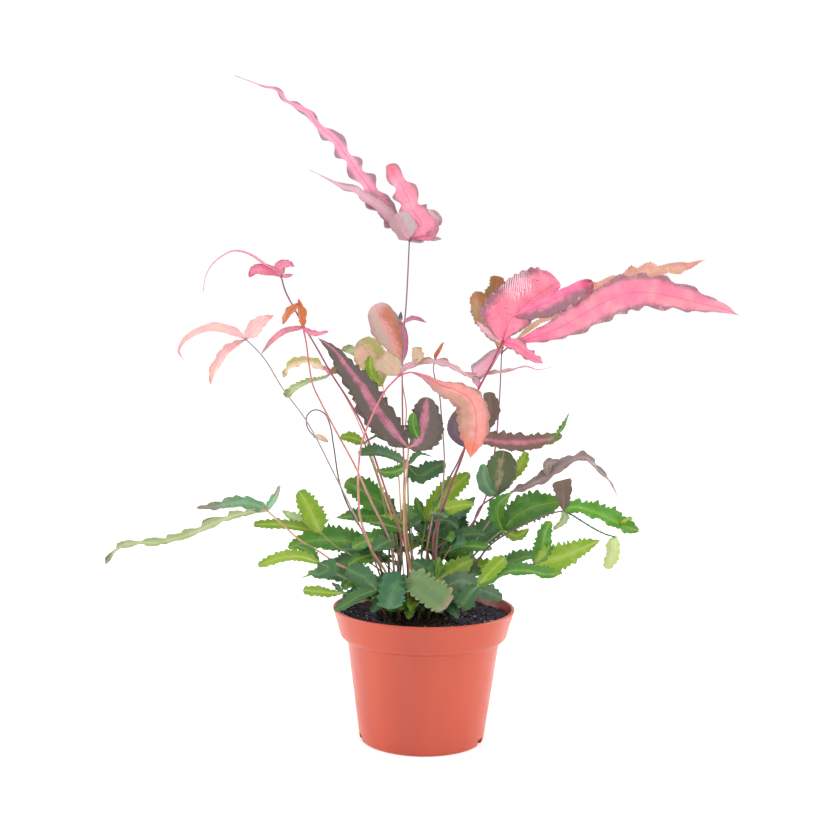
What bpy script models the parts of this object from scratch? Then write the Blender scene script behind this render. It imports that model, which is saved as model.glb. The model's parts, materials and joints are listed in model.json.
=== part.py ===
# A potted brake fern: a plastic nursery pot, its soil, a rootstock, and fronds of thin stalks and cut or waved blades.
# Metres, +Z up. The origin is the centre of the pot's underside, and -Y is the side the plant is looked at from.

from math import ceil, cos, pi, radians, sin

import bmesh
import bpy
from mathutils import Matrix, Vector

MM = 0.001

# Pot, in mm
RIM_RADIUS = 60.0
RIM_HEIGHT = 88.5
COLLAR_FOOT_RADIUS = 54.9
COLLAR_FOOT_HEIGHT = 70.6
BODY_TOP_RADIUS = 50.4
BODY_TOP_HEIGHT = 68.0
BASE_RADIUS = 41.2
BASE_BEVEL = 1.6
POT_WALL = 1.5
FLOOR = 2.2
POT_SIDES = 36
DRAIN_HOLES = 4
DRAIN_HOLE_RADIUS = 3.5
DRAIN_RING_RADIUS = 24.0
CORNER_SLOTS = (193, 338, 22, 167)
SLOT_SIZE = (7.0, 6.5, 4.0)

# Soil and rootstock, in mm
GAP = 0.3
SOIL_TOP = 79.0
SOIL_BUMP = 0.9
SOIL_SIDES = 24
CROWN_CENTRE = Vector((-6.0, 2.0))
CROWN_RADIUS = 24.0
CROWN_DEPTH = 8.0
CROWN_RISE = 11.0
CROWN_EDGE_RISE = 1.5
CROWN_SIDES = 16
SEAT_RINGS = {"A": 4.5, "B": 9.5, "C": 14.5, "D": 19.5}
SOCKET_DEPTH = 3.0
SOCKET_RADIUS = 2.2
SOCKET_SIDES = 4

# Stalks and blades, in mm
STALK_FOOT_RADIUS = 1.15
STALK_TIP_RADIUS = 0.75
BLADE_THICKNESS = 0.85
SMOOTH_STEPS = 5
TEETH_KEPT = 0.46
TOOTH_GAIN = 1.3
KNOB_RADIUS = 1.8
LEAF_FOOT_HALF = 0.8
LEAF_FOOT_FLARE = 1.3
LEAF_TIP_HALF = 0.4

# The front view that the fronds are laid out on: its eye, and how far it looks down and leans.
EYE = Vector((-4.7, -900.0, 290.4))
LOOK_DOWN = radians(4.98)
LEAN = radians(1.02)

COLOURS = {
    "pot": (0.62, 0.115, 0.066, 1, 0.38),
    "soil": (0.022, 0.019, 0.020, 1, 0.95),
    "crown": (0.060, 0.032, 0.018, 1, 0.90),
    "stalk_pink": (0.46, 0.10, 0.15, 1, 0.45),
    "stalk_dark": (0.11, 0.065, 0.055, 1, 0.45),
    "stalk_tan": (0.42, 0.26, 0.15, 1, 0.50),
    "pink": (0.86, 0.25, 0.36, 1, 0.50),
    "pale_pink": (0.88, 0.52, 0.52, 1, 0.50),
    "salmon": (0.80, 0.36, 0.28, 1, 0.50),
    "orange": (0.70, 0.25, 0.13, 1, 0.50),
    "rust": (0.50, 0.22, 0.16, 1, 0.50),
    "olive": (0.28, 0.17, 0.09, 1, 0.50),
    "cream": (0.66, 0.46, 0.28, 1, 0.50),
    "bronze": (0.13, 0.075, 0.065, 1, 0.45),
    "grey": (0.24, 0.19, 0.17, 1, 0.50),
    "green": (0.10, 0.26, 0.06, 1, 0.45),
    "lime": (0.33, 0.46, 0.07, 1, 0.50),
    "pale_green": (0.40, 0.56, 0.26, 1, 0.50),
    "dark": (0.035, 0.12, 0.060, 1, 0.40),
}

# Directions that a blade's upper side turns to
FRONT = (0.0, -1.0, 0.25)
FRONT_UP = (0.0, -0.8, 0.75)
UP = (0.0, -0.25, 1.0)
LEFT_FRONT = (-0.7, -0.8, 0.4)
RIGHT_FRONT = (0.7, -0.8, 0.4)
BACK_UP = (0.0, 0.6, 0.9)


def seen(side, height, depth):
    """The point at this depth behind the pot's axis that the front view shows at (side, height)."""
    right = Vector((cos(LEAN), sin(LEAN) * sin(LOOK_DOWN), sin(LEAN) * cos(LOOK_DOWN)))
    up = Vector((-sin(LEAN), cos(LEAN) * sin(LOOK_DOWN), cos(LEAN) * cos(LOOK_DOWN)))
    on_sheet = right * side + up * height
    return EYE + (on_sheet - EYE) * ((depth - EYE.y) / (on_sheet.y - EYE.y))


def leaf(kind, width, depth, rib, face=FRONT_UP, peak=0.42, full=1.5, teeth=6, tooth=1.0, lean=0.7,
         stagger=False, fold=16, ruffle=(0.0, 3.0, 0.0), twist=(0, 0), on=None):
    """One pinna: its rib in the front view, from its foot to its tip, and the rule for its outline and bends."""
    return dict(kind=kind, width=width, depth=depth, rib=rib, face=face, peak=peak, full=full, teeth=teeth,
                tooth=tooth, lean=lean, stagger=stagger, fold=fold, ruffle=ruffle, twist=twist, on=on)


# Each frond: seat on the rootstock (ring, angle), stalk as (side, height) points up to the node, the node's depth,
# then its pinnae. Sides and heights are mm in the front view; depths are mm behind the pot's axis.
TALL = {
    "pink_top": dict(
        seat=("A", 330), colour="stalk_dark", depth=10,
        stalk=[(-9, 131), (-11.5, 178), (-12.7, 225), (-12.5, 258), (-10, 291), (-8, 331)],
        leaves=[
            leaf("pink", 23, (10, 26), [(-14, 343), (-22, 353), (-33, 369), (-43, 385), (-57, 401), (-71, 413),
                                        (-82, 421), (-92, 428), (-106, 434), (-124, 441)],
                 face=FRONT, peak=0.22, full=2.2, teeth=9, tooth=4.2, lean=0.55, stagger=True,
                 ruffle=(2.2, 9, 0.0), fold=10),
            leaf("pink", 9, (12, 4), [(-37, 356), (-44, 361), (-54, 367), (-64, 372), (-75, 378)],
                 face=FRONT, peak=0.2, full=1.6, teeth=3, tooth=1.2, on=(0, 0.1)),
            leaf("pink", 19, (10, 2), [(-4, 341), (-7, 354), (-12.5, 364), (-18, 373), (-23, 382)],
                 face=RIGHT_FRONT, peak=0.35, full=0.9, teeth=4, tooth=3.0, ruffle=(2.5, 3, 0.8), fold=20),
            leaf("pink", 17, (10, 16), [(-4, 335), (3, 342), (13, 349)],
                 face=FRONT, peak=0.5, full=0.8, teeth=3, tooth=2.0, ruffle=(2.0, 2, 0.5)),
            leaf("pink", 6, (10, 12), [(-4, 331.5), (3, 334), (13, 332)], face=(0, -0.4, -1), teeth=2, full=0.9),
            leaf("pink", 9, (10, 2), [(-12, 334), (-18, 340), (-24, 348)], face=(0.4, 0.6, 0.6), teeth=3, full=1.0),
        ]),
    "pink_right": dict(
        seat=("C", 335), colour="stalk_pink", depth=-18,
        stalk=[(8, 131), (15, 155), (21, 171), (27.5, 188), (31.5, 205), (36, 227), (45, 245), (54, 263)],
        leaves=[
            leaf("pink", 27, (-18, -38), [(67, 266), (86, 272.5), (101, 278), (113, 286), (123, 291), (135, 294.5),
                                          (159, 294.5), (183, 291), (211, 281)],
                 face=(0, -1, 0.45), peak=0.55, full=1.3, teeth=11, tooth=2.6, ruffle=(2.0, 8, 0.4), fold=14,
                 twist=(14, -6)),
            leaf("pink", 33, (-18, -10), [(58, 268), (65, 278), (74, 288), (83, 295), (97, 299), (113, 303)],
                 face=(-0.35, -1, 0.1), peak=0.42, full=1.4, teeth=10, tooth=1.8, ruffle=(1.8, 5, 1.2), fold=10),
            leaf("pink", 10, (-18, -28), [(63, 261), (73, 253.5), (81, 249)], face=FRONT, teeth=3, tooth=1.6,
                 ruffle=(1.0, 2, 0.0)),
        ]),
    "olive_right": dict(
        seat=("B", 30), colour="stalk_dark", depth=34,
        stalk=[(10, 125), (32, 140), (44, 163), (49, 191), (52, 225), (53.5, 256)],
        leaves=[
            leaf("olive", 17, (34, 20), [(47, 272), (40, 283), (37, 294)], face=(0.5, -1, 0.2), peak=0.6,
                 full=0.9, teeth=6, tooth=1.4, ruffle=(1.2, 3, 0.0)),
            leaf("olive", 15, (34, 34), [(51, 275), (50, 290), (52, 306)], face=FRONT, peak=0.65, full=0.9,
                 teeth=6, tooth=1.4),
            leaf("salmon", 16, (34, 62), [(75, 274), (95, 286), (119, 297), (139, 305), (155, 311), (173, 312.5),
                                          (189, 317)],
                 face=(0, -1, 0.6), peak=0.68, full=1.5, teeth=9, tooth=2.6, ruffle=(2.4, 5, 0.0), twist=(0, 10)),
        ]),
    "arched_left": dict(
        seat=("B", 162), colour="stalk_pink", depth=16,
        stalk=[(-14, 135), (-24, 165), (-33, 191), (-40, 209), (-48, 223.5), (-60, 242), (-69, 258), (-79, 275),
               (-85, 286), (-91, 298), (-93.5, 307)],
        leaves=[
            leaf("pink", 4, (16, 0), [(-97, 311), (-104, 315), (-111, 320), (-118, 323.3), (-125.5, 324), (-133, 320.5),
                                      (-139, 315.5), (-143.5, 308), (-145.5, 297)],
                 face=(-0.5, -0.4, 1), peak=0.25, full=1.1, teeth=0, fold=0),
            leaf("pink", 6.5, (16, 8), [(-99, 310.5), (-105, 311.5), (-110.5, 311), (-115, 306.5)],
                 face=FRONT, peak=0.6, full=0.9, teeth=2),
            leaf("pink", 9, (16, 24), [(-94, 312), (-90, 314.5), (-85, 314)], face=(0, -0.2, 1), peak=0.6,
                 full=0.8, teeth=2, fold=42),
            leaf("grey", 3, (16, 22), [(-89.5, 307.3), (-85.5, 308.2)], face=FRONT, teeth=0, fold=0),
        ]),
    "pale_left": dict(
        seat=("C", 203), colour="stalk_dark", depth=-30,
        stalk=[(-34, 125), (-48.5, 156), (-60, 179), (-70, 199), (-77.5, 212), (-92, 231.5), (-107, 255), (-117, 265)],
        leaves=[
            leaf("pale_pink", 11, (-30, -44), [(-123, 267.5), (-134, 271), (-144, 271), (-153, 267), (-159, 262),
                                              (-161.5, 256.5), (-158, 251)],
                 face=(-0.2, -0.6, 0.8), peak=0.32, full=1.4, teeth=4, tooth=0.6, fold=26),
            leaf("pale_pink", 10, (-30, -40), [(-123, 261.5), (-130, 257), (-135, 250), (-139, 242), (-140.5, 235)],
                 face=(-0.7, -1, 0.3), peak=0.45, full=0.9, teeth=5, tooth=1.4),
            leaf("pale_pink", 13, (-30, -20), [(-114, 268), (-109, 274), (-104, 278), (-98.5, 281)],
                 face=(-0.4, -1, 0.3), peak=0.5, full=1.0, teeth=5, tooth=1.2),
        ]),
    "salmon_arch": dict(
        seat=("C", 232), colour="stalk_pink", depth=-25,
        stalk=[(-25, 112), (-31, 121), (-36.5, 133), (-41, 147), (-42, 161), (-42, 179), (-39.5, 197), (-35.5, 208),
               (-30.5, 219), (-24, 231), (-14.7, 241)],
        leaves=[
            leaf("salmon", 15, (-25, -44), [(-7, 243), (4, 239.5), (13, 234.5), (23, 233), (31, 228), (36, 219),
                                            (37, 208), (35.3, 197), (32.7, 187)],
                 face=(0.5, -0.9, 0.5), peak=0.7, full=2.4, teeth=7, tooth=0.9, fold=18),
            leaf("cream", 15, (-25, -16), [(-21, 247), (-28, 254)], face=FRONT, peak=0.55, full=0.8, teeth=4,
                 tooth=0.5),
            leaf("pale_pink", 6, (-25, 8), [(-10, 246), (-3, 249), (10, 251), (22, 248.5), (33, 243), (43, 241),
                                             (61, 244.5), (76, 246.5), (86, 246)],
                 face=(0, -0.9, 0.6), peak=0.4, full=1.2, teeth=9, tooth=1.0, ruffle=(0.8, 5, 0.0)),
            leaf("pale_pink", 9, (-13, 0), [(42, 250), (50, 256)], face=FRONT, peak=0.4, full=0.9, teeth=2,
                 on=(2, 0.45)),
            leaf("bronze", 8, (-25, -30), [(-9, 249), (-5, 259)], face=FRONT, peak=0.6, full=0.9, teeth=4, tooth=1.1),
            leaf("bronze", 10, (-40, -28), [(27, 221), (24, 208), (29, 196)], face=(-0.5, -0.6, -0.3), peak=0.5,
                 full=1.0, teeth=4, on=(0, 0.55)),
        ]),
    "orange_fold": dict(
        seat=("B", 192), colour="stalk_pink", depth=-8,
        stalk=[(-21, 130), (-34, 158), (-44, 180), (-57, 204), (-67, 223), (-72.5, 235), (-75, 249), (-77, 264),
               (-79, 273)],
        leaves=[
            leaf("orange", 10, (-8, -12), [(-80, 281), (-83, 291)], face=RIGHT_FRONT, peak=0.5, full=0.9, teeth=3,
                 fold=34),
            leaf("orange", 8, (-8, -18), [(-83, 280), (-88, 284), (-92, 275)], face=LEFT_FRONT, peak=0.5, full=1.0,
                 teeth=3, fold=24),
            leaf("pale_pink", 4, (-8, -14), [(-82, 272.5), (-91, 270.5), (-99, 264.5), (-107, 255)], face=FRONT_UP,
                 peak=0.3, full=1.0, teeth=0, fold=10),
            leaf("pink", 6, (-8, -16), [(-75, 269.5), (-69, 268.5), (-62, 270)], face=FRONT_UP, teeth=3, full=1.0),
        ]),
    "pale_band": dict(
        seat=("B", 138), colour="stalk_tan", depth=30,
        stalk=[(-18, 140), (-27, 168), (-36, 195), (-44, 214), (-52, 229), (-60, 242)],
        leaves=[
            leaf("cream", 11, (30, 20), [(-67, 246), (-75, 250), (-83, 249), (-89, 245), (-92, 239.5)],
                 face=(0, -0.6, 0.9), peak=0.4, full=0.9, teeth=5, tooth=1.4, ruffle=(1.2, 3, 0.0)),
            leaf("olive", 9, (30, 34), [(-55, 245), (-49.5, 242)], face=FRONT_UP, peak=0.5, full=0.9, teeth=3),
            leaf("lime", 6, (30, 16), [(-64, 239.5), (-77, 236), (-86, 230.5), (-90, 226)], face=(0, -0.5, 1),
                 peak=0.75, full=0.7, teeth=4, tooth=0.6),
        ]),
    "centre_fold": dict(
        seat=("A", 90), colour="stalk_tan", depth=24,
        stalk=[(-10, 131), (-12, 160), (-11, 178), (-8.5, 191), (-10.5, 205), (-10, 218), (-12.7, 237), (-12.7, 250)],
        leaves=[
            leaf("rust", 17, (24, 28), [(-17, 261), (-24, 273), (-30, 283), (-33, 289)], face=(0.5, -1, 0.1),
                 peak=0.55, full=0.9, teeth=5, tooth=0.9, fold=34),
            leaf("rust", 9, (24, 25), [(-14.5, 260), (-15, 271), (-17, 281)], face=(-0.5, -1, 0.1), peak=0.6,
                 full=0.9, teeth=3),
            leaf("grey", 3.6, (25, 18), [(-10, 277.5), (-5, 279), (3.5, 276.5)], face=(0, -0.4, 1), teeth=2,
                 tooth=0.5, on=(1, 0.62)),
        ]),
    "cream_centre": dict(
        seat=("B", 102), colour="stalk_tan", depth=48,
        stalk=[(-13, 140), (-15.5, 178), (-20, 211), (-26, 234)],
        leaves=[
            leaf("cream", 18, (48, 50), [(-30, 245), (-35, 256), (-44, 261)], face=FRONT, peak=0.55, full=0.8,
                 teeth=6, tooth=1.0),
            leaf("lime", 9, (48, 40), [(-31, 239), (-36, 246), (-37, 254)], face=(-0.3, -1, 0.2), peak=0.5,
                 full=0.9, teeth=4),
            leaf("olive", 9, (48, 58), [(-36, 250), (-45, 256), (-53, 257)], face=FRONT_UP, peak=0.6, full=1.0,
                 teeth=5, tooth=1.2),
        ]),
    "bronze_left": dict(
        seat=("B", 275), colour="stalk_tan", depth=-5,
        stalk=[(-11, 131), (-11.5, 158), (-9.5, 178), (-8.7, 193)],
        leaves=[
            leaf("bronze", 23, (-5, 14), [(-14, 199), (-22, 209), (-31, 220), (-39, 234), (-48, 245), (-57, 257),
                                          (-69, 266)],
                 face=(0.25, -1, 0.1), peak=0.42, full=1.0, teeth=14, tooth=1.4, fold=12, ruffle=(0.8, 5, 0.0)),
            leaf("bronze", 23, (-5, -8), [(-4, 201), (0, 212), (3, 226)], face=(-0.2, -1, 0.1), peak=0.5,
                 full=0.8, teeth=8, tooth=1.4, fold=10),
        ]),
    "bud": dict(
        seat=("B", 330), colour="stalk_tan", depth=0,
        stalk=[(11, 138), (13.3, 158), (15.3, 183), (14.7, 198), (13.3, 214.7), (12, 228), (9.3, 238), (8, 246),
               (9.3, 252)],
        leaves=[
            leaf("orange", 4.5, (0, 0), [(12, 257), (15, 263)], face=LEFT_FRONT, peak=0.4, full=1.0, teeth=0,
                 fold=30),
        ]),
    "bronze_right": dict(
        seat=("B", 0), colour="stalk_dark", depth=12,
        stalk=[(4, 131), (9, 152), (17.3, 170), (23.3, 181), (31, 195), (37, 199)],
        leaves=[
            leaf("bronze", 14, (12, 6), [(43, 198), (53, 196.5), (67, 196), (83, 198), (94, 200.5)],
                 face=(0, -0.75, 0.8), peak=0.45, full=0.7, teeth=12, tooth=1.4, ruffle=(1.0, 5, 0.0), fold=22),
            leaf("bronze", 10, (12, 18), [(42, 207), (45.5, 218), (45, 230)], face=FRONT, peak=0.6, full=0.7,
                 teeth=7, tooth=1.3),
            leaf("green", 5, (7, 0), [(94, 206), (98.5, 216)], face=LEFT_FRONT, teeth=2, on=(0, 0.9)),
        ]),
    "striped": dict(
        seat=("C", 18), colour="stalk_dark", depth=12,
        stalk=[(30, 119), (34, 138), (39, 153), (50, 161)],
        leaves=[
            leaf("bronze", 23, (12, 14), [(51.5, 170), (53, 180), (55, 191)], face=FRONT, peak=0.5, full=0.8, teeth=8,
                 tooth=1.3, fold=14),
            leaf("pale_green", 9, (12, 2), [(45, 166), (42, 174), (42, 182)], face=(-0.6, -1, 0.3), peak=0.5,
                 full=0.8, teeth=4, tooth=0.6),
            leaf("lime", 10, (12, 26), [(58, 171), (66, 181), (70, 190)], face=FRONT, peak=0.6, full=0.9, teeth=5,
                 tooth=0.9),
        ]),
    "grey_right": dict(
        seat=("C", 42), colour="stalk_dark", depth=36,
        stalk=[(34, 128), (50, 150), (60, 163)],
        leaves=[
            leaf("grey", 11, (36, 46), [(73, 168), (88, 176), (98, 183), (109, 186), (117, 179), (125, 171),
                                        (132, 158)],
                 face=(-0.1, -0.75, 0.8), peak=0.28, full=1.8, teeth=10, tooth=1.6, ruffle=(1.2, 6, 0.0)),
            leaf("grey", 8, (40, 44), [(84, 181), (93, 184)], face=FRONT_UP, teeth=3, full=0.9, on=(0, 0.28)),
        ]),
    "bright_right": dict(
        seat=("D", 335), colour="stalk_dark", depth=-15,
        stalk=[(23, 101), (33, 111), (46, 128), (56, 135), (72.5, 143.5), (86, 149), (95, 150.7)],
        leaves=[
            leaf("green", 15, (-15, -24), [(101, 153), (113, 150.5), (127, 144.5), (136, 140), (145, 137)],
                 face=(0, -0.7, 0.75), peak=0.5, full=0.8, teeth=8, tooth=1.6, ruffle=(1.2, 4, 0.0)),
            leaf("bronze", 15, (-15, -8), [(94.5, 158), (94.5, 165), (93, 171)], face=FRONT, peak=0.78, full=0.8,
                 teeth=4, tooth=1.2, fold=24),
            leaf("dark", 1.8, (-15, -30), [(102, 147), (113, 140), (123, 135), (131, 133)], face=UP, peak=0.5,
                 full=0.2, teeth=0, fold=0),
            leaf("lime", 12, (-30, -38), [(128, 123), (123, 112)], face=(-0.3, -1, 0.2), peak=0.45, full=0.7, teeth=4,
                 tooth=1.0, on=(2, 0.93)),
            leaf("pale_green", 7, (-15, -24), [(96, 146), (88, 138)], face=FRONT_UP, teeth=3, full=0.9),
            leaf("lime", 5, (-22, -26), [(135, 144), (141, 146)], face=FRONT, teeth=2, full=0.9, on=(0, 0.75)),
        ]),
    "lime_right": dict(
        seat=("D", 312), colour="stalk_dark", depth=-34,
        stalk=[(26, 99), (42, 106), (60, 112), (75, 115)],
        leaves=[
            leaf("lime", 22, (-34, -44), [(84, 117.5), (93, 120), (106, 125), (119, 131)], face=(0, -0.9, 0.6),
                 peak=0.3, full=1.1, teeth=9, tooth=1.2),
            leaf("green", 14, (-34, -30), [(80, 124), (82, 134), (86, 144)], face=(-0.3, -1, 0.3), peak=0.45,
                 full=0.8, teeth=6, tooth=1.2),
        ]),
    "long_left": dict(
        seat=("D", 190), colour="stalk_tan", depth=-26,
        stalk=[(-45, 110), (-57.3, 116), (-67.3, 123), (-80.7, 131), (-93, 142), (-103, 151)],
        leaves=[
            leaf("pale_green", 9, (-26, -44), [(-118, 149), (-134, 144), (-149, 137), (-165, 131.5), (-175, 129.5),
                                              (-190, 129), (-200, 127), (-211, 115.5)],
                 face=(0, -0.75, 0.7), peak=0.5, full=0.6, teeth=8, tooth=2.2, lean=0.85, ruffle=(0.8, 6, 0.0)),
            leaf("grey", 8, (-26, -14), [(-113, 155), (-124, 155.5), (-134, 154), (-149, 152.5)], face=(0, -0.9, 0.5),
                 peak=0.35, full=0.8, teeth=6, tooth=1.5, ruffle=(0.8, 4, 0.0)),
            leaf("pale_green", 6, (-26, -30), [(-100, 157), (-97, 161), (-94.5, 167)], face=LEFT_FRONT, teeth=3,
                 tooth=1.2, full=0.8),
        ]),
    "loop_left": dict(
        seat=("C", 176), colour="stalk_dark", depth=4,
        stalk=[(-31, 125), (-46, 148), (-53.3, 165), (-58.7, 195), (-61, 208), (-64.5, 215.5), (-71, 218),
               (-76, 214.5), (-76.7, 209), (-74.7, 204), (-71, 200)],
        leaves=[
            leaf("olive", 4, (4, -2), [(-67, 199.5), (-62, 196.5)], face=FRONT, teeth=0, full=0.9),
        ]),
}

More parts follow.
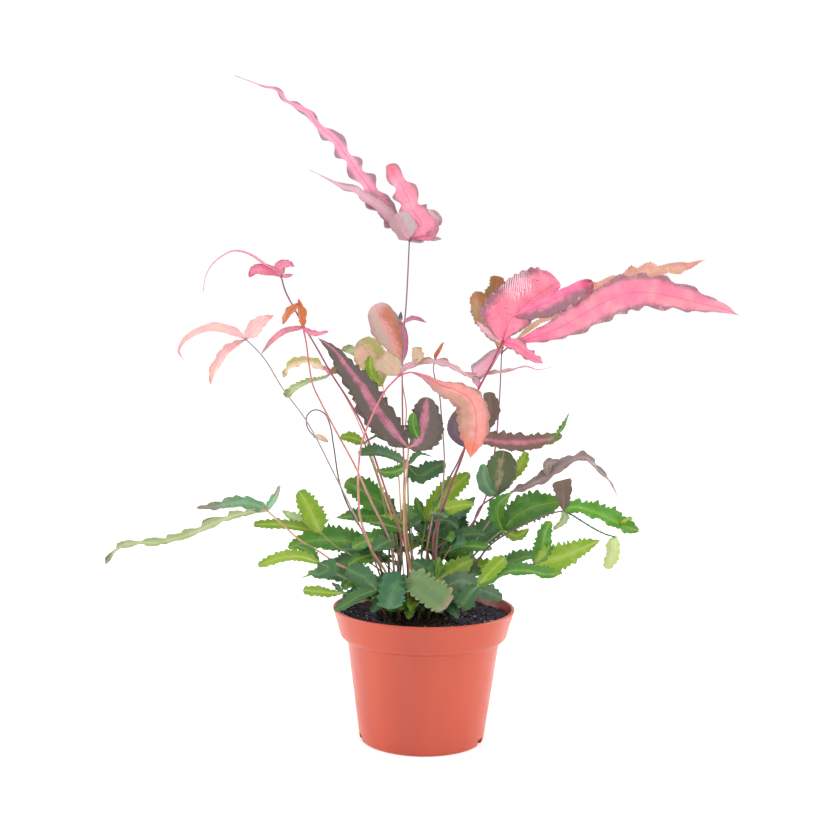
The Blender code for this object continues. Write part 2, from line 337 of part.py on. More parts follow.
# The low fronds are one piece each, stalk and blade together.
LOW = {
    "low_yellow_mid": dict(
        seat=("C", 148), depth=12, stalk=[(-22, 140), (-30, 175), (-38, 196)],
        leaves=[
            leaf("lime", 9, (12, 6), [(-45, 199), (-54, 200)], face=FRONT, peak=0.5, full=0.8, teeth=4, tooth=0.7),
            leaf("dark", 4, (12, 22), [(-28, 201), (-15, 201.5)], face=UP, teeth=3, tooth=0.5),
        ]),
    "low_dark_mid": dict(
        seat=("C", 92), depth=26, stalk=[(-8, 140), (-9, 165), (-9, 181)],
        leaves=[
            leaf("dark", 15, (26, -4), [(-20, 187), (-30, 189.5), (-42, 188)], face=(0, -0.8, 0.8), peak=0.5,
                 full=0.9, teeth=7, tooth=0.8),
            leaf("green", 11, (26, 36), [(-14, 178), (-24, 176), (-31, 178)], face=(0, -0.9, 0.5), teeth=5),
            leaf("dark", 15, (26, 22), [(-2, 174), (7, 178), (16, 183)], face=FRONT, peak=0.5, full=0.8, teeth=6,
                 tooth=0.9),
            leaf("dark", 8, (26, 36), [(-2, 188), (7, 187)], face=UP, teeth=3),
        ]),
    "low_lime_mid": dict(
        seat=("C", 68), depth=26, stalk=[(0, 125), (3, 143)],
        leaves=[
            leaf("lime", 19, (26, 24), [(9, 154), (17, 162), (32, 176)], face=FRONT, peak=0.45, full=0.9, teeth=9,
                 tooth=1.2),
            leaf("green", 11, (26, 28), [(-1, 152), (-4, 160)], face=FRONT, teeth=4),
            leaf("dark", 18, (26, 42), [(14, 147), (26, 150), (36, 160)], face=FRONT_UP, teeth=6),
        ]),
    "low_left_yellow": dict(
        seat=("D", 172), depth=-6, stalk=[(-42, 118), (-58, 128), (-67, 136)],
        leaves=[
            leaf("lime", 19, (-6, -8), [(-72, 146), (-76, 155), (-82, 164)], face=(0.2, -1, 0.3), peak=0.45,
                 full=0.8, teeth=6, tooth=1.4),
            leaf("lime", 10, (-6, -8), [(-80, 139), (-96, 141.5), (-112, 141.5)], face=FRONT_UP, peak=0.62, full=0.9,
                 teeth=6, tooth=1.0),
            leaf("pale_green", 11, (-6, 4), [(-76, 142), (-86, 147), (-93, 151)], face=FRONT, teeth=4),
        ]),
    "low_left": dict(
        seat=("D", 208), depth=-30, stalk=[(-40, 100), (-55, 108), (-68, 116)],
        leaves=[
            leaf("lime", 11, (-30, -38), [(-82, 120), (-95, 119), (-109, 114)], face=FRONT_UP, peak=0.55, full=0.8,
                 teeth=7, tooth=1.2),
            leaf("green", 9, (-30, -22), [(-76, 124), (-84, 128)], face=FRONT, teeth=4),
            leaf("dark", 15, (-30, -44), [(-62, 112), (-68, 108), (-76, 110)], face=FRONT_UP, teeth=5, tooth=1.2),
        ]),
    "low_left_round": dict(
        seat=("D", 222), depth=-35, stalk=[(-38, 92), (-52, 96)],
        leaves=[
            leaf("lime", 8.5, (-35, -44), [(-62, 96), (-70, 97), (-79, 98)], face=FRONT, peak=0.72, full=0.9, teeth=5,
                 tooth=0.7),
            leaf("dark", 5, (-35, -32), [(-56, 100), (-60, 103)], face=FRONT, teeth=2),
        ]),
    "low_left_green": dict(
        seat=("D", 152), depth=14, stalk=[(-27, 112), (-33, 122)],
        leaves=[
            leaf("green", 22, (14, 12), [(-44, 129), (-60, 131), (-76, 130), (-89, 126)], face=(0, -0.85, 0.7),
                 peak=0.4, full=0.8, teeth=9, tooth=1.5),
            leaf("dark", 16, (14, 28), [(-40, 121), (-52, 116), (-64, 113)], face=FRONT, teeth=6, tooth=1.3),
        ]),
    "low_left_mid": dict(
        seat=("C", 124), depth=32, stalk=[(-13, 130), (-17, 150)],
        leaves=[
            leaf("green", 22, (32, 28), [(-28, 157), (-38, 163), (-51, 170)], face=FRONT, peak=0.5, full=0.8,
                 teeth=8, tooth=1.2),
            leaf("green", 15, (32, 34), [(-30, 147), (-42, 147), (-57, 146)], face=FRONT_UP, teeth=6, tooth=1.0),
        ]),
    "low_right_mid": dict(
        seat=("D", 15), depth=8, stalk=[(30, 115), (42, 128), (54, 138)],
        leaves=[
            leaf("green", 23, (8, 2), [(63, 147), (74, 153), (92, 157)], face=FRONT, peak=0.5, full=0.8, teeth=8,
                 tooth=1.3),
            leaf("green", 15, (8, -4), [(51, 147), (52, 155), (60, 163)], face=(-0.3, -1, 0.2), teeth=6, tooth=1.0),
            leaf("lime", 10, (8, 0), [(64, 134), (72, 139)], face=FRONT, teeth=4),
        ]),
    "low_right": dict(
        seat=("D", 296), depth=-46, stalk=[(30, 93), (38, 101)],
        leaves=[
            leaf("green", 14, (-46, -54), [(48, 106), (58, 110), (72, 110), (84, 108), (94, 109)],
                 face=(0, -0.5, 0.9), peak=0.5, full=0.7, teeth=7, tooth=1.0, ruffle=(1.0, 3, 0.0)),
            leaf("lime", 13, (-46, -48), [(46, 110), (56, 120)], face=FRONT, peak=0.55, full=0.8, teeth=5),
            leaf("dark", 15, (-46, -44), [(32, 95), (27, 87)], face=FRONT, peak=0.6, full=0.6, teeth=5, lean=0.5),
        ]),
    "low_front_pair": dict(
        seat=("D", 262), depth=-30, stalk=[(-10, 103)],
        leaves=[
            leaf("dark", 20, (-30, -46), [(-16, 102), (-20, 94), (-22, 85)], face=(-0.2, -1, 0.35), peak=0.6,
                 full=0.6, teeth=7, tooth=1.4, lean=0.5),
            leaf("green", 23, (-30, -50), [(-3, 103), (5, 96), (17, 86)], face=(0.2, -1, 0.45), peak=0.6, full=0.6,
                 teeth=8, tooth=1.5, lean=0.5),
        ]),
    "low_front_right": dict(
        seat=("D", 278), depth=-26, stalk=[(17, 100)],
        leaves=[
            leaf("dark", 16, (-26, -38), [(26, 104), (40, 98), (54, 92)], face=FRONT, full=0.8, teeth=5, tooth=1.2,
                 fold=4),
        ]),
    "low_front_left": dict(
        seat=("D", 242), depth=-34, stalk=[(-30, 98)],
        leaves=[
            leaf("dark", 15, (-34, -54), [(-40, 97), (-49, 91), (-58, 85)], face=FRONT_UP, peak=0.5, full=0.8,
                 teeth=6, tooth=0.9),
            leaf("dark", 16, (-34, -24), [(-38, 106), (-50, 112)], face=FRONT, peak=0.5, full=0.8, teeth=5),
        ]),
    "low_centre_right": dict(
        seat=("C", 292), depth=-18, stalk=[(9, 105)],
        leaves=[
            leaf("dark", 15, (-18, -12), [(2, 112), (-6, 117)], face=FRONT, full=0.9, teeth=5),
            leaf("lime", 16, (-18, -15), [(16, 108), (24, 113), (34, 118)], face=FRONT, peak=0.5, full=0.8,
                 teeth=6, tooth=1.0),
            leaf("green", 13, (-18, -14), [(10, 112), (12, 120)], face=FRONT, teeth=4),
        ]),
    "low_back_right": dict(
        seat=("D", 48), depth=34, stalk=[(22, 112), (32, 124)],
        leaves=[
            leaf("dark", 23, (34, 44), [(40, 132), (50, 140), (64, 144)], face=FRONT_UP, teeth=7),
            leaf("dark", 17, (34, 66), [(38, 130), (44, 134), (48, 134)], face=BACK_UP, teeth=7),
            leaf("dark", 20, (34, 40), [(27, 132), (24, 142), (26, 152)], face=FRONT, full=1.0, teeth=6),
        ]),
    "low_back_far_right": dict(
        seat=("D", 30), depth=32, stalk=[(34, 104), (48, 110)],
        leaves=[
            leaf("green", 20, (32, 44), [(60, 116), (74, 120), (86, 118)], face=UP, teeth=7),
            leaf("green", 15, (32, 66), [(56, 116), (64, 120), (70, 118)], face=BACK_UP, teeth=6),
        ]),
    "low_back": dict(
        seat=("D", 80), depth=44, stalk=[(0, 118), (2, 134)],
        leaves=[
            leaf("dark", 18, (44, 76), [(6, 146), (12, 154), (16, 154)], face=BACK_UP, teeth=7),
            leaf("dark", 19, (44, 56), [(-4, 142), (-12, 147), (-22, 146)], face=UP, full=1.0, teeth=6),
            leaf("green", 15, (44, 86), [(2, 138), (2, 136), (0, 128)], face=BACK_UP, teeth=6),
            leaf("dark", 17, (44, 36), [(8, 128), (18, 122), (27, 116)], face=FRONT, full=0.9, teeth=5),
        ]),
    "low_back_left": dict(
        seat=("D", 114), depth=40, stalk=[(-24, 108), (-34, 116)],
        leaves=[
            leaf("green", 22, (40, 56), [(-44, 126), (-54, 130), (-66, 126)], face=FRONT_UP, full=1.0, teeth=7),
            leaf("dark", 16, (40, 82), [(-38, 124), (-42, 128), (-44, 120)], face=BACK_UP, teeth=7),
        ]),
    "low_back_far_left": dict(
        seat=("D", 134), depth=24, stalk=[(-28, 100), (-44, 104)],
        leaves=[
            leaf("green", 15, (24, 38), [(-56, 108), (-68, 109), (-80, 106)], face=UP, teeth=6),
            leaf("dark", 14, (24, 52), [(-50, 110), (-58, 112), (-66, 106)], face=BACK_UP, teeth=5),
        ]),
}


# Scene, materials and small helpers


def clear_scene():
    for obj in list(bpy.data.objects):
        bpy.data.objects.remove(obj, do_unlink=True)


def material(kind):
    found = bpy.data.materials.get(kind)
    if found:
        return found
    made = bpy.data.materials.new(kind)
    made.use_nodes = True
    shader = made.node_tree.nodes["Principled BSDF"]
    shader.inputs["Base Color"].default_value = COLOURS[kind][:4]
    shader.inputs["Roughness"].default_value = COLOURS[kind][4]
    shader.inputs["Metallic"].default_value = 0.0
    made.diffuse_color = COLOURS[kind][:4]
    return made


def add_object(name, points, faces, kind, collection=None):
    """An object from points in mm and faces, with its normals turned outwards."""
    mesh = bpy.data.meshes.new(name)
    work = bmesh.new()
    corners = [work.verts.new(Vector(point) * MM) for point in points]
    for face in faces:
        work.faces.new([corners[i] for i in face])
    bmesh.ops.recalc_face_normals(work, faces=work.faces)
    work.to_mesh(mesh)
    work.free()
    mesh.materials.append(material(kind))
    obj = bpy.data.objects.new(name, mesh)
    (collection or bpy.context.scene.collection).objects.link(obj)
    return obj


def add_boolean(obj, collection, operation, solver="EXACT"):
    boolean = obj.modifiers.new(operation.title(), "BOOLEAN")
    boolean.operation = operation
    boolean.operand_type = "COLLECTION"
    boolean.collection = collection
    boolean.solver = solver


def drop_scraps(mesh):
    """Keeps only the largest connected body of the mesh."""
    work = bmesh.new()
    work.from_mesh(mesh)
    unseen = set(work.verts)
    bodies = []
    while unseen:
        body, edge = set(), [unseen.pop()]
        while edge:
            vert = edge.pop()
            body.add(vert)
            near = {link.other_vert(vert) for link in vert.link_edges} & unseen
            unseen -= near
            edge += near
        bodies.append(body)
    bodies.sort(key=len)
    scraps = [vert for body in bodies[:-1] for vert in body]
    bmesh.ops.delete(work, geom=scraps, context="VERTS")
    work.to_mesh(mesh)
    work.free()


def apply_and_empty(obj, collection):
    """Keeps the evaluated mesh of the object, and removes the Boolean and the objects that it used."""
    graph = bpy.context.evaluated_depsgraph_get()
    whole = bpy.data.meshes.new_from_object(obj.evaluated_get(graph))
    drop_scraps(whole)
    obj.modifiers.clear()
    obj.data = whole
    for used in list(collection.objects):
        bpy.data.objects.remove(used, do_unlink=True)
    bpy.data.collections.remove(collection)


def new_collection(name):
    collection = bpy.data.collections.new(name)
    bpy.context.scene.collection.children.link(collection)
    return collection


def ring(radius, height, sides, centre=(0.0, 0.0)):
    turn = 2 * pi / sides
    return [(centre[0] + radius * cos(i * turn), centre[1] + radius * sin(i * turn), height) for i in range(sides)]


def lofted(rings):
    """Points and faces of a closed solid: the first and last rings are closed by fans round their middles."""
    sides = len(rings[0])
    points = [point for one in rings for point in one]
    faces = []
    for row in range(len(rings) - 1):
        for i in range(sides):
            j = (i + 1) % sides
            low, high = row * sides, (row + 1) * sides
            faces.append((low + i, low + j, high + j, high + i))
    for row, first in ((0, 0), (len(rings) - 1, (len(rings) - 1) * sides)):
        middle = sum((Vector(point) for point in rings[row]), Vector()) / sides
        points.append(tuple(middle))
        faces += [(first + i, first + (i + 1) % sides, len(points) - 1) for i in range(sides)]
    return points, faces


def prism(centre, axis, radius, length, sides):
    """A straight prism from centre along axis."""
    turn = axis.to_track_quat("Z", "Y").to_matrix()
    rings = [[tuple(centre + turn @ Vector(point)) for point in ring(radius, height, sides)]
             for height in (0.0, length)]
    return lofted(rings)


# Pot


def pot_wall_radius(height):
    """Outer radius of the pot's body under its collar."""
    return BASE_RADIUS + (BODY_TOP_RADIUS - BASE_RADIUS) * height / BODY_TOP_HEIGHT


def make_pot():
    outside = [
        (BASE_RADIUS - BASE_BEVEL, 0.0),
        (pot_wall_radius(BASE_BEVEL), BASE_BEVEL),
        (BODY_TOP_RADIUS, BODY_TOP_HEIGHT),
        (COLLAR_FOOT_RADIUS, COLLAR_FOOT_HEIGHT),
        (RIM_RADIUS, RIM_HEIGHT - 1.6),
        (RIM_RADIUS - 0.5, RIM_HEIGHT),
    ]
    inside = [
        (RIM_RADIUS - POT_WALL - 0.6, RIM_HEIGHT),
        (COLLAR_FOOT_RADIUS - POT_WALL, COLLAR_FOOT_HEIGHT + 0.6),
        (BODY_TOP_RADIUS - POT_WALL, BODY_TOP_HEIGHT),
        (pot_wall_radius(FLOOR) - POT_WALL, FLOOR),
    ]
    rings = [ring(radius, height, POT_SIDES) for radius, height in outside + inside]
    pot = add_object("pot", *lofted(rings), "pot")
    cutters = new_collection("pot_cutters")
    for i in range(DRAIN_HOLES):
        angle = 2 * pi * (i + 0.5) / DRAIN_HOLES
        centre = Vector((DRAIN_RING_RADIUS * cos(angle), DRAIN_RING_RADIUS * sin(angle), -2.0))
        add_object(f"drain_cutter_{i}", *prism(centre, Vector((0, 0, 1)), DRAIN_HOLE_RADIUS, FLOOR + 4, 10), "pot",
                   cutters)
    long, wide, tall = SLOT_SIZE
    for i, degrees in enumerate(CORNER_SLOTS):
        turn = Matrix.Rotation(radians(degrees), 3, "Z")
        corners = [turn @ Vector((BASE_RADIUS + x * long / 2, y * wide / 2, z * tall))
                   for z in (-0.5, 1) for x, y in ((-1, -1), (1, -1), (1, 1), (-1, 1))]
        add_object(f"slot_cutter_{i}", *lofted([corners[:4], corners[4:]]), "pot", cutters)
    for cutter in cutters.objects:
        cutter.hide_render = True
        cutter.display_type = "WIRE"
    add_boolean(pot, cutters, "DIFFERENCE")
    pot.data.shade_smooth()
    pot.data.set_sharp_from_angle(angle=radians(35))


# Soil and rootstock


def soil_height(x, y):
    """The gently lumpy top of the soil."""
    return SOIL_TOP + SOIL_BUMP * (sin(0.31 * x + 1.3) * cos(0.27 * y) + 0.6 * sin(0.57 * y + 0.43 * x))


def make_soil():
    """Fills the pot, with a round recess that the rootstock sits in."""
    recess = CROWN_RADIUS + GAP
    recess_floor = SOIL_TOP - CROWN_DEPTH - GAP
    top_radius = RIM_RADIUS - POT_WALL - 1.2 - (RIM_HEIGHT - SOIL_TOP) * 0.29 - GAP
    body_gap = POT_WALL + GAP + 0.3
    rings = [
        ring(pot_wall_radius(FLOOR) - body_gap, FLOOR + GAP, SOIL_SIDES),
        ring(BODY_TOP_RADIUS - body_gap, BODY_TOP_HEIGHT + 0.8, SOIL_SIDES),
        ring(COLLAR_FOOT_RADIUS - body_gap, COLLAR_FOOT_HEIGHT + 1.6, SOIL_SIDES),
    ]
    steps = 4
    for step in range(steps + 1):
        share = step / steps
        centre = CROWN_CENTRE * share
        flat = ring(top_radius + (recess - top_radius) * share, 0.0, SOIL_SIDES, centre)
        rings.append([(x, y, soil_height(x, y)) for x, y, _ in flat])
    rings.append(ring(recess, recess_floor, SOIL_SIDES, CROWN_CENTRE))
    soil = add_object("soil", *lofted(rings), "soil")
    soil.data.shade_smooth()


def crown_height(radius):
    """Height of the rootstock's top at this distance from its middle."""
    share = min(radius / CROWN_RADIUS, 1.0)
    return SOIL_TOP + CROWN_EDGE_RISE + (CROWN_RISE - CROWN_EDGE_RISE) * (1 - share * share)


def seat_of(frond):
    """Where a stalk leaves the rootstock, and the direction that it leaves in."""
    ring_name, degrees = frond["seat"]
    radius = SEAT_RINGS[ring_name]
    out = Vector((cos(radians(degrees)), sin(radians(degrees)), 0.0))
    point = Vector((CROWN_CENTRE.x, CROWN_CENTRE.y, crown_height(radius))) + out * radius
    return point, (out * (radius / CROWN_RADIUS) * 0.9 + Vector((0, 0, 1))).normalized()


def make_crown():
    """The rootstock, with a plain hole for each stalk."""
    rings = [ring(CROWN_RADIUS, SOIL_TOP - CROWN_DEPTH, CROWN_SIDES, CROWN_CENTRE)]
    for share in (1.0, 0.78, 0.5, 0.22):
        rings.append(ring(CROWN_RADIUS * share, crown_height(CROWN_RADIUS * share), CROWN_SIDES, CROWN_CENTRE))
    crown = add_object("crown", *lofted(rings), "crown")
    holes = new_collection("crown_holes")
    for name, frond in {**TALL, **LOW}.items():
        point, axis = seat_of(frond)
        hole = prism(point - axis * SOCKET_DEPTH, axis, SOCKET_RADIUS, SOCKET_DEPTH * 3, SOCKET_SIDES)
        add_object(f"{name}_hole", *hole, "crown", holes)
    add_boolean(crown, holes, "DIFFERENCE")
    apply_and_empty(crown, holes)
    crown.data.shade_smooth()
    crown.data.set_sharp_from_angle(angle=radians(40))


# Paths


def smooth_path(points, per_span=8):
    """A smooth curve through the points, as close steps along it. Its bends keep to the points, however uneven."""
    spans = [end - start for start, end in zip(points, points[1:])]
    chords = [span.length for span in spans]
    courses = [span / chord for span, chord in zip(spans, chords)]
    turns = [courses[0]]
    for i in range(1, len(courses)):
        before, after = chords[i - 1], chords[i]
        turns.append((courses[i - 1] * after + courses[i] * before) / (before + after))
    turns.append(courses[-1])
    path = []
    for i, chord in enumerate(chords):
        for step in range(per_span):
            t = step / per_span
            path.append(points[i] * (2 * t ** 3 - 3 * t ** 2 + 1) + points[i + 1] * (3 * t ** 2 - 2 * t ** 3)
                        + turns[i] * chord * (t ** 3 - 2 * t ** 2 + t) + turns[i + 1] * chord * (t ** 3 - t ** 2))
    return path + [points[-1].copy()]


def measured(path):
    """Length along the path at each of its points."""
    lengths = [0.0]
    for start, end in zip(path, path[1:]):
        lengths.append(lengths[-1] + (end - start).length)
    return lengths


def at_share(path, lengths, share):
    """The point and direction at a share of the path's length."""
    target = share * lengths[-1]
    i = 0
    while i < len(path) - 2 and lengths[i + 1] < target:
        i += 1
    start, end = path[i], path[i + 1]
    step = (target - lengths[i]) / (lengths[i + 1] - lengths[i])
    near = path[max(i - 1, 0)]
    far = path[min(i + 2, len(path) - 1)]
    return start.lerp(end, step), (far - near).normalized()


def node_of(frond):
    return seen(*frond["stalk"][-1], frond["depth"])


def stalk_points(frond):
    """The stalk's course: up out of its hole, then through its points in the front view."""
    seat, axis = seat_of(frond)
    points = [seat - axis * (SOCKET_DEPTH - GAP * 2), seat, seat + axis * 6]
    top = frond["stalk"][-1][1]
    for side, height in frond["stalk"]:
        share = max(0.0, (height - SOIL_TOP) / (top - SOIL_TOP)) if top > SOIL_TOP + 10 else 1.0
        points.append(seen(side, height, seat.y + (frond["depth"] - seat.y) * share))
    points[-1] = node_of(frond)
    return points


def add_tube(name, path, shares, radii, sides, kind, collection=None):
    lengths = measured(path)
    rings = []
    side = Vector((1, 0, 0))
    for share, radius in zip(shares, radii):
        centre, along = at_share(path, lengths, share)
        side = (side - along * side.dot(along)).normalized()
        across = along.cross(side)
        turn = [2 * pi * i / sides for i in range(sides)]
        rings.append([tuple(centre + (side * cos(a) + across * sin(a)) * radius) for a in turn])
    return add_object(name, *lofted(rings), kind, collection)


def add_stalk(name, frond, end_gap, sides, steps, kind, collection=None):
    path = smooth_path(stalk_points(frond))
    last = 1 - end_gap / measured(path)[-1]
    shares = [last * i / steps for i in range(steps + 1)]
    radii = [STALK_FOOT_RADIUS + (STALK_TIP_RADIUS - STALK_FOOT_RADIUS) * share for share in shares]
    return add_tube(name, path, shares, radii, sides, kind, collection)


# Blades


def leaf_rib(frond, pinna):
    """The rib's smooth course from the node, or from the rib that the pinna grows on."""
    if pinna["on"]:
        parent, share = pinna["on"]
        path = leaf_rib(frond, frond["leaves"][parent])
        foot = at_share(path, measured(path), share)[0]
    else:
        foot = node_of(frond)
    start, end = foot.y, pinna["depth"][1]
    count = len(pinna["rib"])
    points = [foot]
    for i, (side, height) in enumerate(pinna["rib"]):
        points.append(seen(side, height, start + (end - start) * (i + 1) / count))
    return smooth_path(points)


def least_half(share):
    """The narrowest that half a blade gets: its foot's width, down to its tip's."""
    return LEAF_FOOT_HALF + (LEAF_TIP_HALF - LEAF_FOOT_HALF) * share


def half_width(pinna, share, length):
    """Half the blade's width at this share of its length, without its teeth."""
    inside = min(max(share, 1e-6), 1 - 1e-6)
    low, high = pinna["full"] * pinna["peak"], pinna["full"] * (1 - pinna["peak"])
    swell = (inside / pinna["peak"]) ** low * ((1 - inside) / (1 - pinna["peak"])) ** high
    flare = LEAF_FOOT_HALF + LEAF_FOOT_FLARE * share * length
    return max(min(pinna["width"] / 2 * swell, flare), least_half(share))


def cut_teeth(pinna):
    """How many teeth the solid gets: the fine ones are fewer and larger than life, and the lobes are all there."""
    fine = pinna["teeth"] > 4 and not pinna["stagger"]
    return max(3, round(pinna["teeth"] * TEETH_KEPT)) if fine else pinna["teeth"]


def edge_stations(pinna, offset):
    """Shares of the length, each with how deep the outline is cut there."""
    teeth = cut_teeth(pinna)
    if not teeth:
        return [(i / SMOOTH_STEPS, 0.0) for i in range(SMOOTH_STEPS + 1)]
    stations = [(0.0, 0.0)]
    for i in range(teeth + 1):
        tip = (i + pinna["lean"] + offset - 1) / teeth
        notch = (i + offset) / teeth
        stations += [(tip, 0.0), (notch, 1.0)]
    inner = [(share, cut) for share, cut in stations[1:] if 0.03 < share < 0.985]
    return [(0.0, 0.0)] + inner + [(1.0, 0.0)]


def blade_frame(pinna, path, lengths, share):
    """Point on the rib, the blade's sideways direction and the way its upper side faces."""
    centre, along = at_share(path, lengths, share)
    face = Vector(pinna["face"])
    face = (face - along * face.dot(along)).normalized()
    start, end = pinna["twist"]
    face = Matrix.Rotation(radians(start + (end - start) * share), 3, along) @ face
    return centre, along.cross(face), face


def edge_point(pinna, path, lengths, share, cut, hand):
    centre, side, face = blade_frame(pinna, path, lengths, share)
    half = half_width(pinna, share, lengths[-1])
    depth = pinna["tooth"] * TOOTH_GAIN * min(1.0, 2.4 * half / pinna["width"])
    half = max(half - cut * depth, least_half(share))
    amount, waves, phase = pinna["ruffle"]
    wave = amount * min(1.0, 2 * half / pinna["width"]) * sin(2 * pi * waves * share + phase + hand * pi / 2)
    fold = radians(pinna["fold"])
    return centre + side * (hand * half * cos(fold)) + face * (half * sin(fold) + wave), face


def between(rib_shares, edge_shares):
    """Triangles from the rib's points (r) to the edge's points (e), split at the nearer step."""
    faces, r, e = [], 0, 0
    while r < len(rib_shares) - 1 or e < len(edge_shares) - 1:
        edge_next = e < len(edge_shares) - 1 and (r == len(rib_shares) - 1 or edge_shares[e + 1] <= rib_shares[r + 1])
        if edge_next:
            faces.append((("r", r), ("e", e), ("e", e + 1)))
            e += 1
        else:
            faces.append((("r", r), ("e", e), ("r", r + 1)))
            r += 1
    return faces


def add_blade(name, frond, pinna, collection):
    """A thin closed blade, its upper and lower faces split into triangles alike."""
    path = leaf_rib(frond, pinna)
    lengths = measured(path)
    count = max(round(cut_teeth(pinna) * 0.65), 3)
    rib_shares = [i / count for i in range(count + 1)]
    points, faces, rows = [], [], {}
    up = BLADE_THICKNESS / 2

    def add_row(key, row):
        rows[key] = []
        for centre, face in row:
            rows[key].append(len(points))
            points.append(tuple(centre + face * up))
            points.append(tuple(centre - face * up))

    frames = [blade_frame(pinna, path, lengths, share) for share in rib_shares]
    add_row("rib", [(centre, face) for centre, _, face in frames])
    for hand, offset in ((1, 0.0), (-1, 0.5 if pinna["stagger"] else 0.0)):
        stations = edge_stations(pinna, offset)
        add_row(hand, [edge_point(pinna, path, lengths, share, cut, hand) for share, cut in stations])
        for corners in between(rib_shares, [share for share, _ in stations]):
            top = [rows["rib" if row == "r" else hand][i] for row, i in corners]
            faces.append(tuple(top))
            faces.append(tuple(i + 1 for i in reversed(top)))
        edge = rows[hand]
        for a, b in zip(edge, edge[1:]):
            faces += [(a, b, b + 1), (a, b + 1, a + 1)]
        for end in (0, -1):
            a, b = rows["rib"][end], edge[end]
            faces += [(a, b, b + 1), (a, b + 1, a + 1)]
    return add_object(name, points, faces, pinna["kind"], collection)


def add_knob(name, centre, kind):
    """A small round joint that a frond's pinnae meet in."""
    work = bmesh.new()
    bmesh.ops.create_icosphere(work, subdivisions=1, radius=KNOB_RADIUS)
    points = [vert.co + centre for vert in work.verts]
    faces = [[vert.index for vert in face.verts] for face in work.faces]
    work.free()
    return add_object(name, points, faces, kind)


def make_blade(name, frond, with_stalk):
    """All of a frond's pinnae, fused at its node, and with its stalk where the frond is one piece."""
    kind = frond["leaves"][0]["kind"]
    blade = add_knob(name, node_of(frond), kind)
    pieces = new_collection(f"{name}_pieces")
    for i, pinna in enumerate(frond["leaves"]):
        add_blade(f"{name}_pinna_{i}", frond, pinna, pieces)
    if with_stalk:
        add_stalk(f"{name}_stem", frond, 0.0, 3, 7, kind, pieces)
    # EXACT leaves open edges where such thin waved blades meet in the knob.
    add_boolean(blade, pieces, "UNION", "MANIFOLD")
    apply_and_empty(blade, pieces)


def main():
    clear_scene()
    make_pot()
    make_soil()
    make_crown()
    for name, frond in TALL.items():
        steps = max(7, ceil(len(frond["stalk"]) * 1.1))
        add_stalk(f"{name}_stalk", frond, KNOB_RADIUS + GAP, 3, steps, frond["colour"])
        make_blade(f"{name}_blade", frond, False)
    for name, frond in LOW.items():
        make_blade(name, frond, True)


main()
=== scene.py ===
# A potted brake fern: a glossy clay-coloured nursery pot, damp potting mix, a scaly rootstock and its fronds.
import json
from math import ceil, cos, pi, radians, sin, tau
from random import Random

import bmesh
import bpy
from mathutils import Matrix, Vector


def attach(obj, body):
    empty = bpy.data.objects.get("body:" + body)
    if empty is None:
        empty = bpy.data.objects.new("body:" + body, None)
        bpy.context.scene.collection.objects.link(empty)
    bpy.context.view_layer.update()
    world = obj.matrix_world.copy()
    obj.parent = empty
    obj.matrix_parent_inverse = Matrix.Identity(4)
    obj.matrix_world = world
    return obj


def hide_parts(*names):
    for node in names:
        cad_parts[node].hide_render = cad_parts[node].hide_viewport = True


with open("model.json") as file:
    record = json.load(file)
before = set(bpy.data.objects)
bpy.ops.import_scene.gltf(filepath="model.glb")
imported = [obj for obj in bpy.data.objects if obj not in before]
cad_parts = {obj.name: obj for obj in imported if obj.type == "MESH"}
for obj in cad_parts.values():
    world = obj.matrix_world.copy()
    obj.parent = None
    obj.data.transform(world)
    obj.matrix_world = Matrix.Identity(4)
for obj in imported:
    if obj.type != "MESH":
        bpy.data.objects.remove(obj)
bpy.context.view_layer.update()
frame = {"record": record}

mm = 0.001

# Stage: white floor, white surround, two wide soft lights and a softer one from the front
stage = {
    "floorReach": 9.0,
    "floorWhite": (0.86, 0.86, 0.865, 1.0),
    "floorGlow": 0.26,
    "surround": (1.0, 1.0, 1.0, 1.0),
    "surroundStrength": 1.02,
    # place in m, aim height in m, size in m, watts
    "lights": {
        "leftSoftbox": ((-1.5, 0.1, 0.6), 0.2, 1.2, 18.0),
        "rightSoftbox": ((1.6, 0.1, 0.6), 0.2, 1.2, 18.0),
        "topSoftbox": ((0.1, -0.5, 1.8), 0.15, 1.6, 8.0),
    },
}

# The camera of the photograph: its eye in mm, how far it looks down and leans, and its lens on a 36 mm sensor
view = {"eye": Vector((-4.7, -900.0, 290.4)), "down": radians(4.98), "lean": radians(1.02), "lens": 59.27}
viewRight = Vector((cos(view["lean"]), sin(view["lean"]) * sin(view["down"]), sin(view["lean"]) * cos(view["down"])))
viewUp = Vector((-sin(view["lean"]), cos(view["lean"]) * sin(view["down"]), cos(view["lean"]) * cos(view["down"])))


def makeCamera():
    data = bpy.data.cameras.new("camera")
    data.lens = view["lens"]
    data.sensor_width = 36.0
    data.clip_start, data.clip_end = 0.05, 40.0
    camera = bpy.data.objects.new("camera", data)
    bpy.context.scene.collection.objects.link(camera)
    turn = Matrix((viewRight, viewUp, viewRight.cross(viewUp))).transposed()
    camera.matrix_world = Matrix.Translation(view["eye"] * mm) @ turn.to_4x4()
    bpy.context.scene.camera = camera


